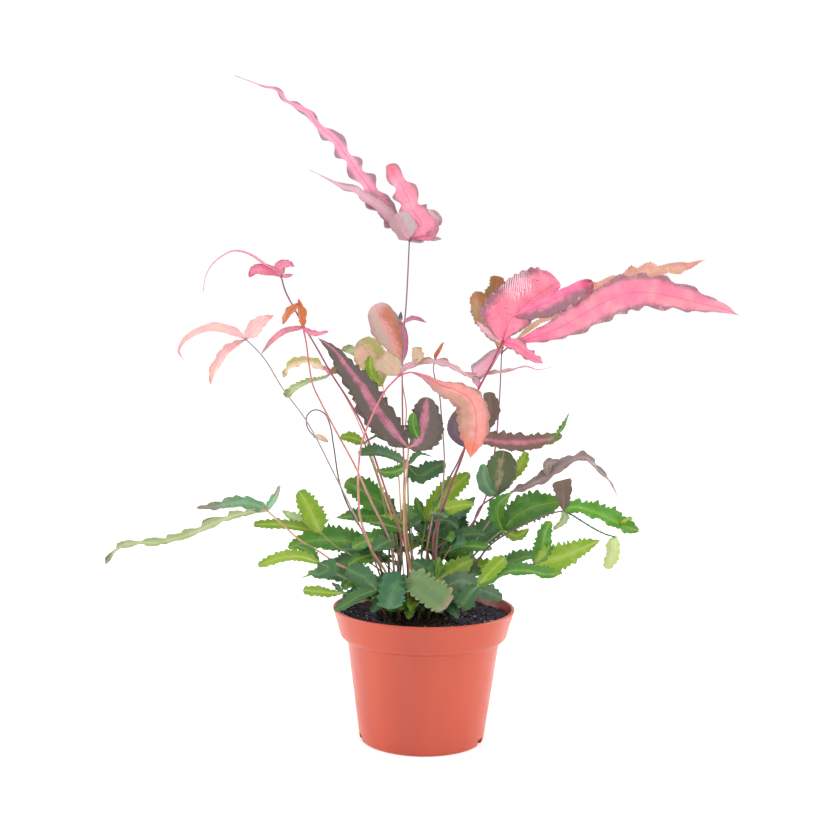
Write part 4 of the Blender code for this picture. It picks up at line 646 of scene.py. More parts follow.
tallFronds = {
    "pink_top": dict(
        seat=("A", 330), colour="darkMauve", depth=10, stem=0.62,
        stalk=[(-9, 131), (-11.5, 178), (-12.7, 225), (-12.5, 258), (-10, 291), (-8, 331)],
        leaves=[
            pinna("topPink", 19, (10, 26), [(-14, 340), (-23, 349.5), (-34, 364.5), (-45, 380.5),
                  (-52.5, 391), (-60, 400), (-66.5, 405.5), (-71.5, 410), (-75.5, 416.5), (-84, 420.5),
                  (-90, 424), (-95.5, 430.5), (-106, 434), (-124.5, 440.8)], face=front, peak=0.18, full=1.7,
                  teeth=9, tooth=5.2, lean=0.5, stagger=True, fold=10, ruffle=(1.8, 9, 0.0), sharp=0,
                  fine=(0.15, 2.6)),
            pinna("topMauve", 12, (12, 4), [(-32, 356.5), (-38, 360.5), (-43, 364.5), (-52, 366.6),
                  (-62.6, 372), (-75, 378)], face=front, peak=0.24, full=2.2, teeth=4, tooth=2.0,
                  on=(0, 0.06), sharp=0),
            pinna("topBright", 23, (10, 2), [(0, 342), (-5.5, 350), (-9, 359.5), (-15, 370.5),
                  (-23.3, 380.9)], face=(0.2, -1, 0.2), peak=0.3, full=0.62, teeth=4, tooth=4.6, fold=10,
                  ruffle=(1.2, 3, 0.8), sharp=0),
            pinna("topMauve", 17, (10, 14), [(-3, 336), (4, 342), (12.5, 348)], face=front, peak=0.6,
                  full=0.8, teeth=3, tooth=2.0, ruffle=(2.0, 2, 0.5), sharp=0),
            pinna("topUnder", 7, (10, 10), [(-4, 331.5), (4, 333), (13.5, 332)], face=(0, -0.6, -0.7),
                  full=0.9, teeth=2, sharp=0),
            pinna("topUnder", 18, (9, -4), [(-11.5, 336.5), (-14.5, 342.5), (-17.5, 348.5)],
                  face=(0.1, -1, -0.1), peak=0.55, full=0.6, teeth=3, tooth=0.6, fold=6, sharp=0, skew=0.22),
        ]),
    "pink_right": dict(
        seat=("C", 335), colour="crimson", depth=-18, stem=0.85,
        stalk=[(8, 131), (15, 155), (21, 171), (27.5, 188), (31.5, 205), (36, 227), (45, 245), (54, 263)],
        leaves=[
            pinna("hotPink", 27, (-20, -38), [(66, 264), (78, 267.3), (96.6, 275), (113.8, 285.5),
                  (125, 291.5), (138, 295.8), (153, 296), (170.5, 292.5), (189, 288), (201, 285.4),
                  (211.5, 281)], face=(0, -1, 0.3), peak=0.54, full=2.3, teeth=11, tooth=2.4, fold=8,
                  ruffle=(1.4, 8, 0.4), sharp=0, fine=(0.25, 2.2)),
            pinna("widePink", 33, (-14, -4), [(55.5, 268), (60, 277), (69, 287), (80, 295), (92, 303)],
                  face=(-0.2, -1, 0.1), peak=0.42, full=0.72, teeth=12, tooth=1.6, fold=8,
                  ruffle=(1.2, 4, 1.2), sharp=1.6, skew=-0.4),
            pinna("fanTip", 16, (-8, -26), [(86, 291), (100, 297.5), (114.5, 303)], face=front, peak=0.62,
                  full=0.9, teeth=4, tooth=1.4, fold=4, on=(1, 0.34), skew=0.4),
            pinna("hotPink", 11, (-18, -28), [(63, 261), (73, 253.5), (81, 249)], face=front, full=1.0,
                  teeth=4, tooth=1.8, ruffle=(1.0, 2, 0.0), sharp=0),
            pinna("topMauve", 7, (-18, -10), [(50, 266), (43, 270.5), (37, 277)], face=(-0.3, -1, 0.3),
                  full=1.0, teeth=4, tooth=1.4, sharp=0),
        ]),
    "olive_right": dict(
        seat=("B", 30), colour="dusk", depth=34, stem=0.6,
        stalk=[(10, 125), (32, 140), (44, 163), (49, 191), (52, 225), (53.5, 256)],
        leaves=[
            pinna("olive", 23, (34, 20), [(51, 266), (45, 276), (38.5, 286), (36, 297)], face=(0.4, -1, 0.2),
                  peak=0.66, full=1.5, teeth=6, tooth=1.6, ruffle=(1.2, 3, 0.0), fine=(1.1, 2.4)),
            pinna("olive", 17, (34, 34), [(50, 275), (48, 290), (52, 307)], face=front, peak=0.72, full=0.7,
                  teeth=6, tooth=2.2, fine=(1.2, 2.2)),
            pinna("salmonOlive", 18, (34, 62), [(75, 274), (95, 286), (119, 297), (139, 305), (155, 311),
                  (173, 312.5), (189, 318)], face=(0, -1, 0.6), peak=0.6, full=2.2, teeth=10, tooth=3.0,
                  ruffle=(2.4, 5, 0.0), twist=(0, 10), fine=(0.8, 2.2)),
        ]),
    "arched_left": dict(
        seat=("B", 162), colour="dusk", depth=16, stem=0.7,
        stalk=[(-14, 135), (-24, 165), (-33, 191), (-40, 209), (-48, 223.5), (-60, 242), (-69, 258),
               (-79, 275), (-85, 286), (-91, 298), (-93.5, 307)],
        leaves=[
            pinna("pinkThread", 5, (16, 0), [(-97, 311), (-104, 315), (-111, 320), (-118, 323.3),
                  (-125.5, 324), (-133, 320.5), (-139, 315.5), (-143.5, 308), (-145.5, 297)],
                  face=(-0.5, -0.4, 1), peak=0.16, full=1.5, teeth=0, fold=0),
            pinna("rose", 8, (16, 8), [(-99, 310.5), (-105, 311.5), (-110.5, 311), (-115, 306.5)], face=front,
                  peak=0.5, full=1.2, teeth=0),
            pinna("rose", 10, (16, 24), [(-94, 312), (-90, 314), (-85, 314)], face=(0, -0.6, 0.8), peak=0.6,
                  full=0.7, teeth=0, fold=26),
            pinna("rose", 3, (16, 22), [(-89.5, 307.3), (-85.5, 308.2)], face=front, teeth=0, fold=0),
        ]),
    "pale_left": dict(
        seat=("C", 203), colour="greyBrown", depth=-30, stem=0.52,
        stalk=[(-34, 125), (-48.5, 156), (-60, 179), (-70, 199), (-77.5, 212), (-92, 231.5), (-107, 255),
               (-117, 265)],
        leaves=[
            pinna("palePink", 11, (-30, -44), [(-123, 267.5), (-134, 271), (-144, 271), (-153, 267),
                  (-159, 262), (-161.5, 256.5), (-158, 251)], face=(-0.2, -0.6, 0.8), peak=0.32, full=1.9,
                  teeth=4, tooth=0.6, fold=26),
            pinna("palePink", 10, (-30, -40), [(-123, 261.5), (-130, 257), (-135, 250), (-139, 242),
                  (-140.5, 235)], face=(-0.7, -1, 0.3), peak=0.5, full=1.6, teeth=5, tooth=1.2),
            pinna("palePink", 13, (-30, -20), [(-114, 268), (-109, 274), (-104, 278), (-98.5, 281)],
                  face=(-0.4, -1, 0.3), peak=0.34, full=1.5, teeth=4, tooth=1.0),
        ]),
    "salmon_arch": dict(
        seat=("C", 232), colour="archPink", depth=-25, stem=0.75,
        stalk=[(-25, 112), (-31, 121), (-36.5, 133), (-41, 147), (-42, 161), (-42, 179), (-39.5, 197),
               (-35.5, 208), (-30.5, 219), (-24, 231), (-14.7, 241)],
        leaves=[
            pinna("salmon", 23, (-25, -44), [(-7, 243), (4, 239.5), (13, 234.5), (23, 231.5), (32.5, 225.5),
                  (36.5, 217), (37, 208), (36, 197.5), (32.7, 186)], face=(0, -1, 0.25), peak=0.68, full=3.0,
                  teeth=12, tooth=1.8, fold=10, sharp=1.4, skew=0.3),
            pinna("tan", 17, (-25, -16), [(-21, 247), (-28, 254)], face=front, peak=0.55, full=0.8, teeth=4,
                  tooth=0.5),
            pinna("mauvePale", 7, (-25, 8), [(-10, 246), (-3, 249), (8, 250), (17, 248.6), (25.3, 244.4),
                  (32.5, 240.6), (38, 239.6), (43.6, 241.8), (53, 243.4), (61.3, 245), (69.6, 246.7),
                  (77.9, 244.8), (86, 246.2)], face=(0, -0.9, 0.6), peak=0.2, full=1.2, teeth=9, tooth=1.6,
                  ruffle=(0.8, 5, 0.0)),
            pinna("webPink", 11, (-13, 0), [(42, 246), (53, 258.5)], face=front, peak=0.3, full=0.8, teeth=0,
                  fold=6, on=(2, 0.5), skew=-0.3),
            pinna("webPink", 5, (-13, -12), [(37.5, 236), (38.5, 231.5)], face=front, peak=0.3, full=1.0,
                  teeth=0, on=(2, 0.5)),
            pinna("tan", 10, (-20, -16), [(-3, 253), (-2.5, 260)], face=front, peak=0.6, full=0.7, teeth=4,
                  tooth=1.4, on=(2, 0.12)),
            pinna("mauveYellow", 10, (-40, -30), [(25, 213), (22.5, 205), (30, 194)], face=(-0.3, -1, 0.1),
                  peak=0.6, full=0.9, teeth=0, on=(0, 0.6)),
        ]),
    "orange_fold": dict(
        seat=("B", 192), colour="rosy", depth=-8, stem=0.7,
        stalk=[(-21, 130), (-34, 158), (-44, 180), (-57, 204), (-67, 223), (-72.5, 235), (-75, 249),
               (-77, 264), (-79, 273)],
        leaves=[
            pinna("orangeFold", 9, (-8, -10), [(-80.5, 281), (-82, 292)], face=rightFront, peak=0.4, full=1.3,
                  teeth=3, fold=24),
            pinna("orangeFold", 9, (-10, -16), [(-87.5, 283), (-92.5, 275)], face=leftFront, peak=0.4,
                  full=1.0, teeth=2, fold=10, on=(0, 0.86)),
            pinna("pinkThread", 5, (-8, -14), [(-82, 272.5), (-91, 270.5), (-99, 264.5), (-107, 255)],
                  face=frontUp, peak=0.3, full=1.0, teeth=0, fold=10),
            pinna("rose", 6, (-8, -16), [(-75, 269.5), (-69, 268.5), (-62, 270)], face=frontUp, full=1.0,
                  teeth=3),
        ]),
    "pale_band": dict(
        seat=("B", 138), colour="beige", depth=30, stem=0.55,
        stalk=[(-18, 140), (-27, 168), (-36, 195), (-44, 214), (-52, 229), (-60, 242)],
        leaves=[
            pinna("cream", 11, (30, 20), [(-67, 246), (-75, 250), (-83, 249), (-89, 245), (-92, 239.5)],
                  face=(0, -0.6, 0.9), peak=0.4, full=0.9, teeth=5, tooth=1.4, ruffle=(1.2, 3, 0.0)),
            pinna("olive", 9, (30, 34), [(-55, 245), (-49.5, 242)], face=frontUp, peak=0.5, full=0.9,
                  teeth=3),
            pinna("paleGreen", 9, (30, 16), [(-64, 239.5), (-77, 236), (-86, 230.5), (-90, 226)],
                  face=(0, -0.5, 1), peak=0.75, full=0.7, teeth=4, tooth=0.6),
            pinna("rose", 5, (30, 28), [(-63, 244.6), (-67, 245.2)], face=frontUp, teeth=0),
        ]),
    "centre_fold": dict(
        seat=("A", 90), colour="tan", depth=24, stem=0.6,
        stalk=[(-10, 131), (-12, 160), (-11, 178), (-8.5, 191), (-10.5, 205), (-10, 218), (-12.7, 237),
               (-12.7, 250)],
        leaves=[
            pinna("rust", 21, (24, 26), [(-18.5, 264.2), (-25.9, 278.3), (-31.5, 288)], face=(0.1, -1, 0.1),
                  peak=0.6, full=0.9, teeth=4, tooth=1.0, fold=6),
            pinna("mauvePink", 4.5, (24, 20), [(-10.5, 264), (-12, 272), (-15, 277.5)], face=front, peak=0.5,
                  full=0.9, teeth=0),
            pinna("mauvePink", 6, (20, 14), [(-10, 277), (-5, 278.6), (3.5, 276.2)], face=(0, -0.7, 0.8),
                  teeth=2, tooth=0.8, on=(1, 0.9)),
            pinna("mauveYellow", 3.2, (20, 20), [(-13.8, 280.5), (-13.6, 283.5)], face=front, teeth=0,
                  on=(1, 0.95)),
        ]),
    "cream_centre": dict(
        seat=("B", 102), colour="beige", depth=48, stem=0.55,
        stalk=[(-13, 140), (-15.5, 178), (-20, 211), (-26, 234)],
        leaves=[
            pinna("cream", 25, (48, 50), [(-30, 245), (-35, 256), (-42, 264)], face=front, peak=0.62,
                  full=1.5, teeth=6, tooth=1.0),
            pinna("lime", 9, (48, 40), [(-31, 239), (-34, 246), (-34, 254)], face=(-0.3, -1, 0.2), peak=0.55,
                  full=0.9, teeth=4),
            pinna("longGreen", 11, (48, 58), [(-36, 250), (-45, 257), (-53, 259)], face=frontUp, peak=0.65,
                  full=1.0, teeth=5, tooth=1.2),
        ]),
    "bronze_left": dict(
        seat=("B", 275), colour="tan", depth=-5,
        stalk=[(-11, 131), (-11.5, 158), (-9.5, 178), (-8.7, 193)],
        leaves=[
            pinna("bronzeFlame", 24, (-5, 14), [(-14, 199), (-22, 209), (-31, 220), (-39, 234), (-48, 245),
                  (-57, 257), (-69, 266)], face=(0.25, -1, 0.1), peak=0.36, full=1.5, teeth=13, tooth=2.6,
                  stagger=True, fold=12, ruffle=(0.8, 5, 0.0), sharp=1.1, skew=-0.22),
            pinna("bronzeFlame", 27, (-5, -8), [(-5, 194.5), (-0.5, 204), (2.3, 215), (4, 226.5)],
                  face=(-0.1, -1, 0.1), peak=0.4, full=0.8, teeth=9, tooth=2.2, fold=8, sharp=1.1, skew=0.12),
            pinna("green", 8, (-9, -12), [(-5.6, 208), (-5, 216)], face=front, peak=0.5, full=0.7, teeth=0,
                  on=(1, 0.25)),
        ]),
    "bud": dict(
        seat=("B", 330), colour="greyTan", depth=0, stem=0.55,
        stalk=[(11, 138), (13.3, 158), (15.3, 183), (14.7, 198), (13.3, 214.7), (12, 228), (9.3, 238),
               (8, 246), (9.3, 252)],
        leaves=[
            pinna("orangeFold", 4.5, (0, 0), [(12, 257), (15, 263)], face=leftFront, peak=0.4, full=1.0,
                  teeth=0, fold=30),
        ]),
    "bronze_right": dict(
        seat=("B", 0), colour="dark", depth=12,
        stalk=[(4, 131), (9, 152), (17.3, 170), (23.3, 181), (31, 195), (37, 199)],
        leaves=[
            pinna("bronzeTip", 15.5, (12, 6), [(43, 198), (53, 196.5), (67, 196), (83, 198), (94, 200.5)],
                  face=(0, -1, 0.4), peak=0.45, full=0.7, teeth=9, tooth=2.0, fold=22, ruffle=(1.0, 5, 0.0),
                  sharp=1.0, fine=(0.6, 1.9)),
            pinna("bronze", 14, (12, 18), [(42, 207), (45.5, 218), (45, 230)], face=front, peak=0.6, full=0.7,
                  teeth=7, tooth=1.3),
            pinna("green", 5, (7, 0), [(94, 206), (98.5, 216)], face=leftFront, teeth=2, on=(0, 0.9)),
        ]),
    "striped": dict(
        seat=("C", 18), colour="dark", depth=12,
        stalk=[(30, 119), (34, 138), (39, 153), (50, 161)],
        leaves=[
            pinna("stripedBronze", 23, (12, 14), [(51.5, 170), (53, 180), (55, 191)], face=front, peak=0.5,
                  full=0.8, teeth=8, tooth=1.3, fold=14),
            pinna("tealPale", 12, (12, 2), [(45, 166), (42, 174), (42, 182)], face=(-0.6, -1, 0.3), peak=0.5,
                  full=0.8, teeth=4, tooth=0.6),
            pinna("lime", 10, (12, 26), [(58, 171), (66, 181), (70, 190)], face=front, peak=0.6, full=0.9,
                  teeth=5, tooth=0.9),
        ]),
    "grey_right": dict(
        seat=("C", 42), colour="greyBrown", depth=36,
        stalk=[(34, 128), (50, 150), (60, 163)],
        leaves=[
            pinna("greyMauve", 11, (36, 46), [(73, 168), (88, 176), (98, 183), (109, 186), (117, 179),
                  (125, 171), (132, 158)], face=(-0.1, -0.75, 0.8), peak=0.28, full=1.8, teeth=10, tooth=1.6,
                  ruffle=(1.2, 6, 0.0)),
            pinna("greyMauve", 8, (40, 44), [(84, 181), (93, 184)], face=frontUp, full=0.9, teeth=3,
                  on=(0, 0.28)),
        ]),
    "bright_right": dict(
        seat=("D", 335), colour="dark", depth=-15,
        stalk=[(23, 101), (33, 111), (46, 128), (56, 135), (72.5, 143.5), (86, 149), (95, 150.7)],
        leaves=[
            pinna("vivid", 17, (-15, -24), [(101, 153), (113, 150.5), (127, 144.5), (136, 140), (145, 137)],
                  face=(0, -0.7, 0.75), peak=0.5, full=0.8, teeth=8, tooth=1.6, ruffle=(1.2, 4, 0.0)),
            pinna("bronze", 15, (-15, -8), [(94.5, 158), (94.5, 165), (93, 171)], face=front, peak=0.78,
                  full=0.8, teeth=4, tooth=1.2, fold=24),
            pinna("dark", 1.8, (-15, -30), [(102, 147), (113, 140), (123, 135), (131, 133)], face=up,
                  peak=0.5, full=0.2, teeth=0, fold=0),
            pinna("paleLime", 12, (-30, -38), [(128, 123), (123, 112)], face=(-0.3, -1, 0.2), peak=0.45,
                  full=0.7, teeth=4, tooth=1.0, on=(2, 0.93)),
            pinna("paleGreen", 7, (-15, -24), [(96, 146), (88, 138)], face=frontUp, full=0.9, teeth=3),
            pinna("lime", 5, (-22, -26), [(135, 144), (141, 146)], face=front, full=0.9, teeth=2,
                  on=(0, 0.75)),
        ]),
    "lime_right": dict(
        seat=("D", 312), colour="dark", depth=-34,
        stalk=[(26, 99), (42, 106), (60, 112), (75, 115)],
        leaves=[
            pinna("lime", 22, (-34, -44), [(84, 117.5), (93, 120), (106, 125), (119, 131)],
                  face=(0, -0.9, 0.6), peak=0.3, full=1.1, teeth=9, tooth=1.2),
            pinna("green", 14, (-34, -30), [(80, 124), (82, 134), (86, 144)], face=(-0.3, -1, 0.3), peak=0.45,
                  full=0.8, teeth=6, tooth=1.2),
        ]),
    "long_left": dict(
        seat=("D", 190), colour="tan", depth=-26,
        stalk=[(-45, 110), (-57.3, 116), (-67.3, 123), (-80.7, 131), (-93, 142), (-103, 151)],
        leaves=[
            pinna("longGreen", 9, (-26, -44), [(-118, 149), (-134, 144), (-149, 137), (-165, 131.5),
                  (-175, 129.5), (-190, 129), (-200, 127), (-211, 115.5)], face=(0, -0.75, 0.7), peak=0.5,
                  full=0.6, teeth=8, tooth=2.2, lean=0.85, ruffle=(0.8, 6, 0.0)),
            pinna("sageMauve", 10, (-26, -14), [(-113, 155.5), (-124, 156), (-134, 154), (-150, 152.8)],
                  face=(0, -0.9, 0.5), peak=0.3, full=0.8, teeth=6, tooth=1.4, ruffle=(0.8, 4, 0.0)),
            pinna("sageMauve", 8, (-26, -30), [(-99, 156.5), (-96.5, 161), (-94, 167.5)], face=leftFront,
                  peak=0.4, full=0.8, teeth=3, tooth=1.0),
        ]),
    "loop_left": dict(
        seat=("C", 176), colour="dark", depth=4, stem=0.55,
        stalk=[(-31, 125), (-46, 148), (-53.3, 165), (-58.7, 195), (-61, 208), (-64.5, 215.5), (-71, 218),
               (-76, 214.5), (-76.7, 209), (-74.7, 204), (-71, 200)],
        leaves=[
            pinna("tan", 4, (4, -2), [(-67, 199.5), (-62, 196.5)], face=front, full=0.9, teeth=0),
        ]),
}

# The low fronds are one piece each, stalk and blade together.
lowFronds = {
    "low_yellow_mid": dict(
        seat=("C", 148), depth=12,
        stalk=[(-22, 140), (-30, 175), (-38, 196)],
        leaves=[
            pinna("lime", 9, (12, 6), [(-45, 199), (-54, 200)], face=front, peak=0.5, full=0.8, teeth=4,
                  tooth=0.7),
            pinna("dark", 4, (12, 22), [(-28, 201), (-15, 201.5)], face=up, teeth=3, tooth=0.5),
        ]),
    "low_dark_mid": dict(
        seat=("C", 92), depth=26,
        stalk=[(-8, 140), (-9, 165), (-9, 181)],
        leaves=[
            pinna("dark", 15, (26, -4), [(-20, 187), (-30, 189.5), (-42, 188)], face=(0, -0.8, 0.8), peak=0.5,
                  full=0.9, teeth=7, tooth=0.8),
            pinna("green", 11, (26, 36), [(-14, 178), (-24, 176), (-31, 178)], face=(0, -0.9, 0.5), teeth=5),
            pinna("dark", 15, (26, 22), [(-2, 174), (7, 178), (16, 183)], face=front, peak=0.5, full=0.8,
                  teeth=6, tooth=0.9),
            pinna("dark", 8, (26, 36), [(-2, 188), (7, 187)], face=up, teeth=3),
        ]),
    "low_lime_mid": dict(
        seat=("C", 68), depth=26,
        stalk=[(0, 125), (3, 143)],
        leaves=[
            pinna("lime", 19, (26, 24), [(9, 154), (17, 162), (32, 176)], face=front, peak=0.45, full=0.9,
                  teeth=9, tooth=1.2),
            pinna("green", 11, (26, 28), [(-1, 152), (-4, 160)], face=front, teeth=4),
            pinna("dark", 18, (26, 42), [(14, 147), (26, 150), (36, 160)], face=frontUp, teeth=6),
        ]),
    "low_left_yellow": dict(
        seat=("D", 172), depth=-6,
        stalk=[(-42, 118), (-58, 128), (-67, 136)],
        leaves=[
            pinna("lime", 19, (-6, -8), [(-72, 146), (-76, 155), (-82, 164)], face=(0.2, -1, 0.3), peak=0.45,
                  full=0.8, teeth=6, tooth=1.4),
            pinna("lime", 10, (-6, -8), [(-80, 139), (-96, 141.5), (-112, 141.5)], face=frontUp, peak=0.62,
                  full=0.9, teeth=6, tooth=1.0),
            pinna("paleGreen", 11, (-6, 4), [(-76, 142), (-86, 147), (-93, 151)], face=front, teeth=4),
        ]),
    "low_left": dict(
        seat=("D", 208), depth=-30,
        stalk=[(-40, 100), (-55, 108), (-68, 116)],
        leaves=[
            pinna("lime", 11, (-30, -38), [(-82, 120), (-95, 119), (-109, 114)], face=frontUp, peak=0.55,
                  full=0.8, teeth=7, tooth=1.2),
            pinna("green", 9, (-30, -22), [(-76, 124), (-84, 128)], face=front, teeth=4),
            pinna("dark", 15, (-30, -44), [(-62, 112), (-68, 108), (-76, 110)], face=frontUp, teeth=5,
                  tooth=1.2),
        ]),
    "low_left_round": dict(
        seat=("D", 222), depth=-35,
        stalk=[(-38, 92), (-52, 96)],
        leaves=[
            pinna("lime", 8.5, (-35, -44), [(-62, 96), (-70, 97), (-79, 98)], face=front, peak=0.72, full=0.9,
                  teeth=5, tooth=0.7),
            pinna("dark", 5, (-35, -32), [(-56, 100), (-60, 103)], face=front, teeth=2),
        ]),
    "low_left_green": dict(
        seat=("D", 152), depth=14,
        stalk=[(-27, 112), (-33, 122)],
        leaves=[
            pinna("green", 22, (14, 12), [(-44, 129), (-60, 131), (-76, 130), (-89, 126)],
                  face=(0, -0.85, 0.7), peak=0.4, full=0.8, teeth=9, tooth=1.5),
            pinna("dark", 16, (14, 28), [(-40, 121), (-52, 116), (-64, 113)], face=front, teeth=6, tooth=1.3),
        ]),
    "low_left_mid": dict(
        seat=("C", 124), depth=32,
        stalk=[(-13, 130), (-17, 150)],
        leaves=[
            pinna("green", 22, (32, 28), [(-28, 157), (-38, 163), (-51, 170)], face=front, peak=0.5, full=0.8,
                  teeth=8, tooth=1.2),
            pinna("green", 15, (32, 34), [(-30, 147), (-42, 147), (-57, 146)], face=frontUp, teeth=6,
                  tooth=1.0),
        ]),
    "low_right_mid": dict(
        seat=("D", 15), depth=8,
        stalk=[(30, 115), (42, 128), (54, 138)],
        leaves=[
            pinna("green", 23, (8, 2), [(63, 147), (74, 153), (92, 157)], face=front, peak=0.5, full=0.8,
                  teeth=8, tooth=1.3),
            pinna("green", 15, (8, -4), [(51, 147), (52, 155), (60, 163)], face=(-0.3, -1, 0.2), teeth=6,
                  tooth=1.0),
            pinna("lime", 10, (8, 0), [(64, 134), (72, 139)], face=front, teeth=4),
        ]),
    "low_right": dict(
        seat=("D", 296), depth=-46,
        stalk=[(30, 93), (38, 101)],
        leaves=[
            pinna("green", 14, (-46, -54), [(48, 106), (58, 110), (72, 110), (84, 108), (94, 109)],
                  face=(0, -0.5, 0.9), peak=0.5, full=0.7, teeth=7, tooth=1.0, ruffle=(1.0, 3, 0.0)),
            pinna("lime", 13, (-46, -48), [(46, 110), (56, 120)], face=front, peak=0.55, full=0.8, teeth=5),
            pinna("dark", 15, (-46, -44), [(32, 95), (27, 87)], face=front, peak=0.6, full=0.6, teeth=5,
                  lean=0.5),
        ]),
    "low_front_pair": dict(
        seat=("D", 262), depth=-30,
        stalk=[(-10, 103)],
        leaves=[
            pinna("teal", 23, (-30, -46), [(-16, 102), (-20, 94), (-22, 85)], face=(-0.2, -1, 0.35), peak=0.6,
                  full=0.6, teeth=7, tooth=1.4, lean=0.5),
            pinna("scallop", 24, (-30, -50), [(-3, 103), (5, 96), (17, 86)], face=(0.2, -1, 0.45), peak=0.6,
                  full=0.6, teeth=8, tooth=2.6, lean=0.5, sharp=2.4),
        ]),
    "low_front_right": dict(
        seat=("D", 278), depth=-26,
        stalk=[(17, 100)],
        leaves=[
            pinna("sage", 16, (-26, -38), [(26, 104), (40, 98), (54, 92)], face=front, full=0.8, teeth=5,
                  tooth=1.2, fold=4),
            pinna("dark", 13, (-26, -34), [(22, 98), (28, 90), (30, 84)], face=front, full=0.8, teeth=5,
                  tooth=1.2),
        ]),
    "low_front_left": dict(
        seat=("D", 242), depth=-34,
        stalk=[(-30, 98)],
        leaves=[
            pinna("dark", 11, (-34, -50), [(-41, 94), (-50, 88.5), (-58, 84)], face=frontUp, peak=0.5,
                  full=0.8, teeth=6, tooth=0.9),
            pinna("dark", 16, (-34, -24), [(-38, 106), (-50, 112)], face=front, peak=0.5, full=0.8, teeth=5),
        ]),
    "low_centre_right": dict(
        seat=("C", 292), depth=-18,
        stalk=[(9, 105)],
        leaves=[
            pinna("dark", 15, (-18, -12), [(2, 112), (-6, 117)], face=front, full=0.9, teeth=5),
            pinna("lime", 16, (-18, -15), [(16, 108), (24, 113), (34, 118)], face=front, peak=0.5, full=0.8,
                  teeth=6, tooth=1.0),
            pinna("green", 13, (-18, -14), [(10, 112), (12, 120)], face=front, teeth=4),
        ]),
    "low_back_right": dict(
        seat=("D", 48), depth=34,
        stalk=[(22, 112), (32, 124)],
        leaves=[
            pinna("dark", 23, (34, 44), [(40, 132), (50, 140), (64, 144)], face=frontUp, teeth=7),
            pinna("dark", 17, (34, 66), [(38, 130), (44, 134), (48, 134)], face=backUp, teeth=7),
            pinna("dark", 20, (34, 40), [(27, 132), (24, 142), (26, 152)], face=front, full=1.0, teeth=6),
        ]),
    "low_back_far_right": dict(
        seat=("D", 30), depth=32,
        stalk=[(34, 104), (48, 110)],
        leaves=[
            pinna("green", 20, (32, 44), [(60, 116), (74, 120), (86, 118)], face=up, teeth=7),
            pinna("green", 15, (32, 66), [(56, 116), (64, 120), (70, 118)], face=backUp, teeth=6),
        ]),
    "low_back": dict(
        seat=("D", 80), depth=44,
        stalk=[(0, 118), (2, 134)],
        leaves=[
            pinna("dark", 18, (44, 76), [(6, 146), (12, 154), (16, 154)], face=backUp, teeth=7),
            pinna("dark", 19, (44, 56), [(-4, 142), (-12, 147), (-22, 146)], face=up, full=1.0, teeth=6),
            pinna("green", 15, (44, 86), [(2, 138), (2, 136), (0, 128)], face=backUp, teeth=6),
            pinna("dark", 17, (44, 36), [(8, 128), (18, 122), (27, 116)], face=front, full=0.9, teeth=5),
            pinna("dark", 18, (44, 50), [(8, 136), (15, 139), (25, 138)], face=front, full=0.9, teeth=6),
        ]),
    "low_back_left": dict(
        seat=("D", 114), depth=40,
        stalk=[(-24, 108), (-34, 116)],
        leaves=[
            pinna("green", 22, (40, 56), [(-44, 126), (-54, 130), (-66, 126)], face=frontUp, full=1.0,
                  teeth=7),
            pinna("dark", 16, (40, 82), [(-38, 124), (-42, 128), (-44, 120)], face=backUp, teeth=7),
        ]),
    "low_back_far_left": dict(
        seat=("D", 134), depth=24,
        stalk=[(-28, 100), (-44, 104)],
        leaves=[
            pinna("green", 15, (24, 38), [(-56, 108), (-68, 109), (-80, 106)], face=up, teeth=6),
            pinna("dark", 14, (24, 52), [(-50, 110), (-58, 112), (-66, 106)], face=backUp, teeth=5),
        ]),
}


growth = {
    "socketDepth": 3.0,
    "stalkFoot": 1.2,
    "stalkTip": 0.75,
    "stalkPoints": 10,
    "knob": 1.25,
    "step": 0.55,
    "pointsRound": 18,
    "thickness": 0.42,
    "footHalf": 0.7,
    "footFlare": 1.3,
    "tipHalf": 0.22,
    "ribFoot": 0.6,
    "ribTip": 0.18,
    "unevenness": 0.1,
    "greenLooks": ("green", "lime", "dark", "paleGreen", "paleLime", "scallop", "teal", "sage",
                   "vivid"),
    "greenPitch": 3.6,
    "greenTooth": 0.13,
    "seed": 3,
}


def seen(side, height, depth):
    # The point at this depth that the photograph shows at this side and height
    onSheet = viewRight * side + viewUp * height
    eye = view["eye"]
    return eye + (onSheet - eye) * ((depth - eye.y) / (onSheet.y - eye.y))


def smoothPath(points, perSpan=8):
    spans = [end - start for start, end in zip(points, points[1:])]
    chords = [span.length for span in spans]
    courses = [span / chord for span, chord in zip(spans, chords)]
    turns = [courses[0]]
    for i in range(1, len(courses)):
        before, after = chords[i - 1], chords[i]
        turns.append((courses[i - 1] * after + courses[i] * before) / (before + after))
    turns.append(courses[-1])
    path = []
    for i, chord in enumerate(chords):
        for step in range(perSpan):
            t = step / perSpan
            path.append(points[i] * (2 * t ** 3 - 3 * t ** 2 + 1) + points[i + 1] * (3 * t ** 2 - 2 * t ** 3)
                        + turns[i] * chord * (t ** 3 - 2 * t ** 2 + t) + turns[i + 1] * chord * (t ** 3 - t ** 2))
    return path + [points[-1].copy()]


def measured(path):
    lengths = [0.0]
    for start, end in zip(path, path[1:]):
        lengths.append(lengths[-1] + (end - start).length)
    return lengths


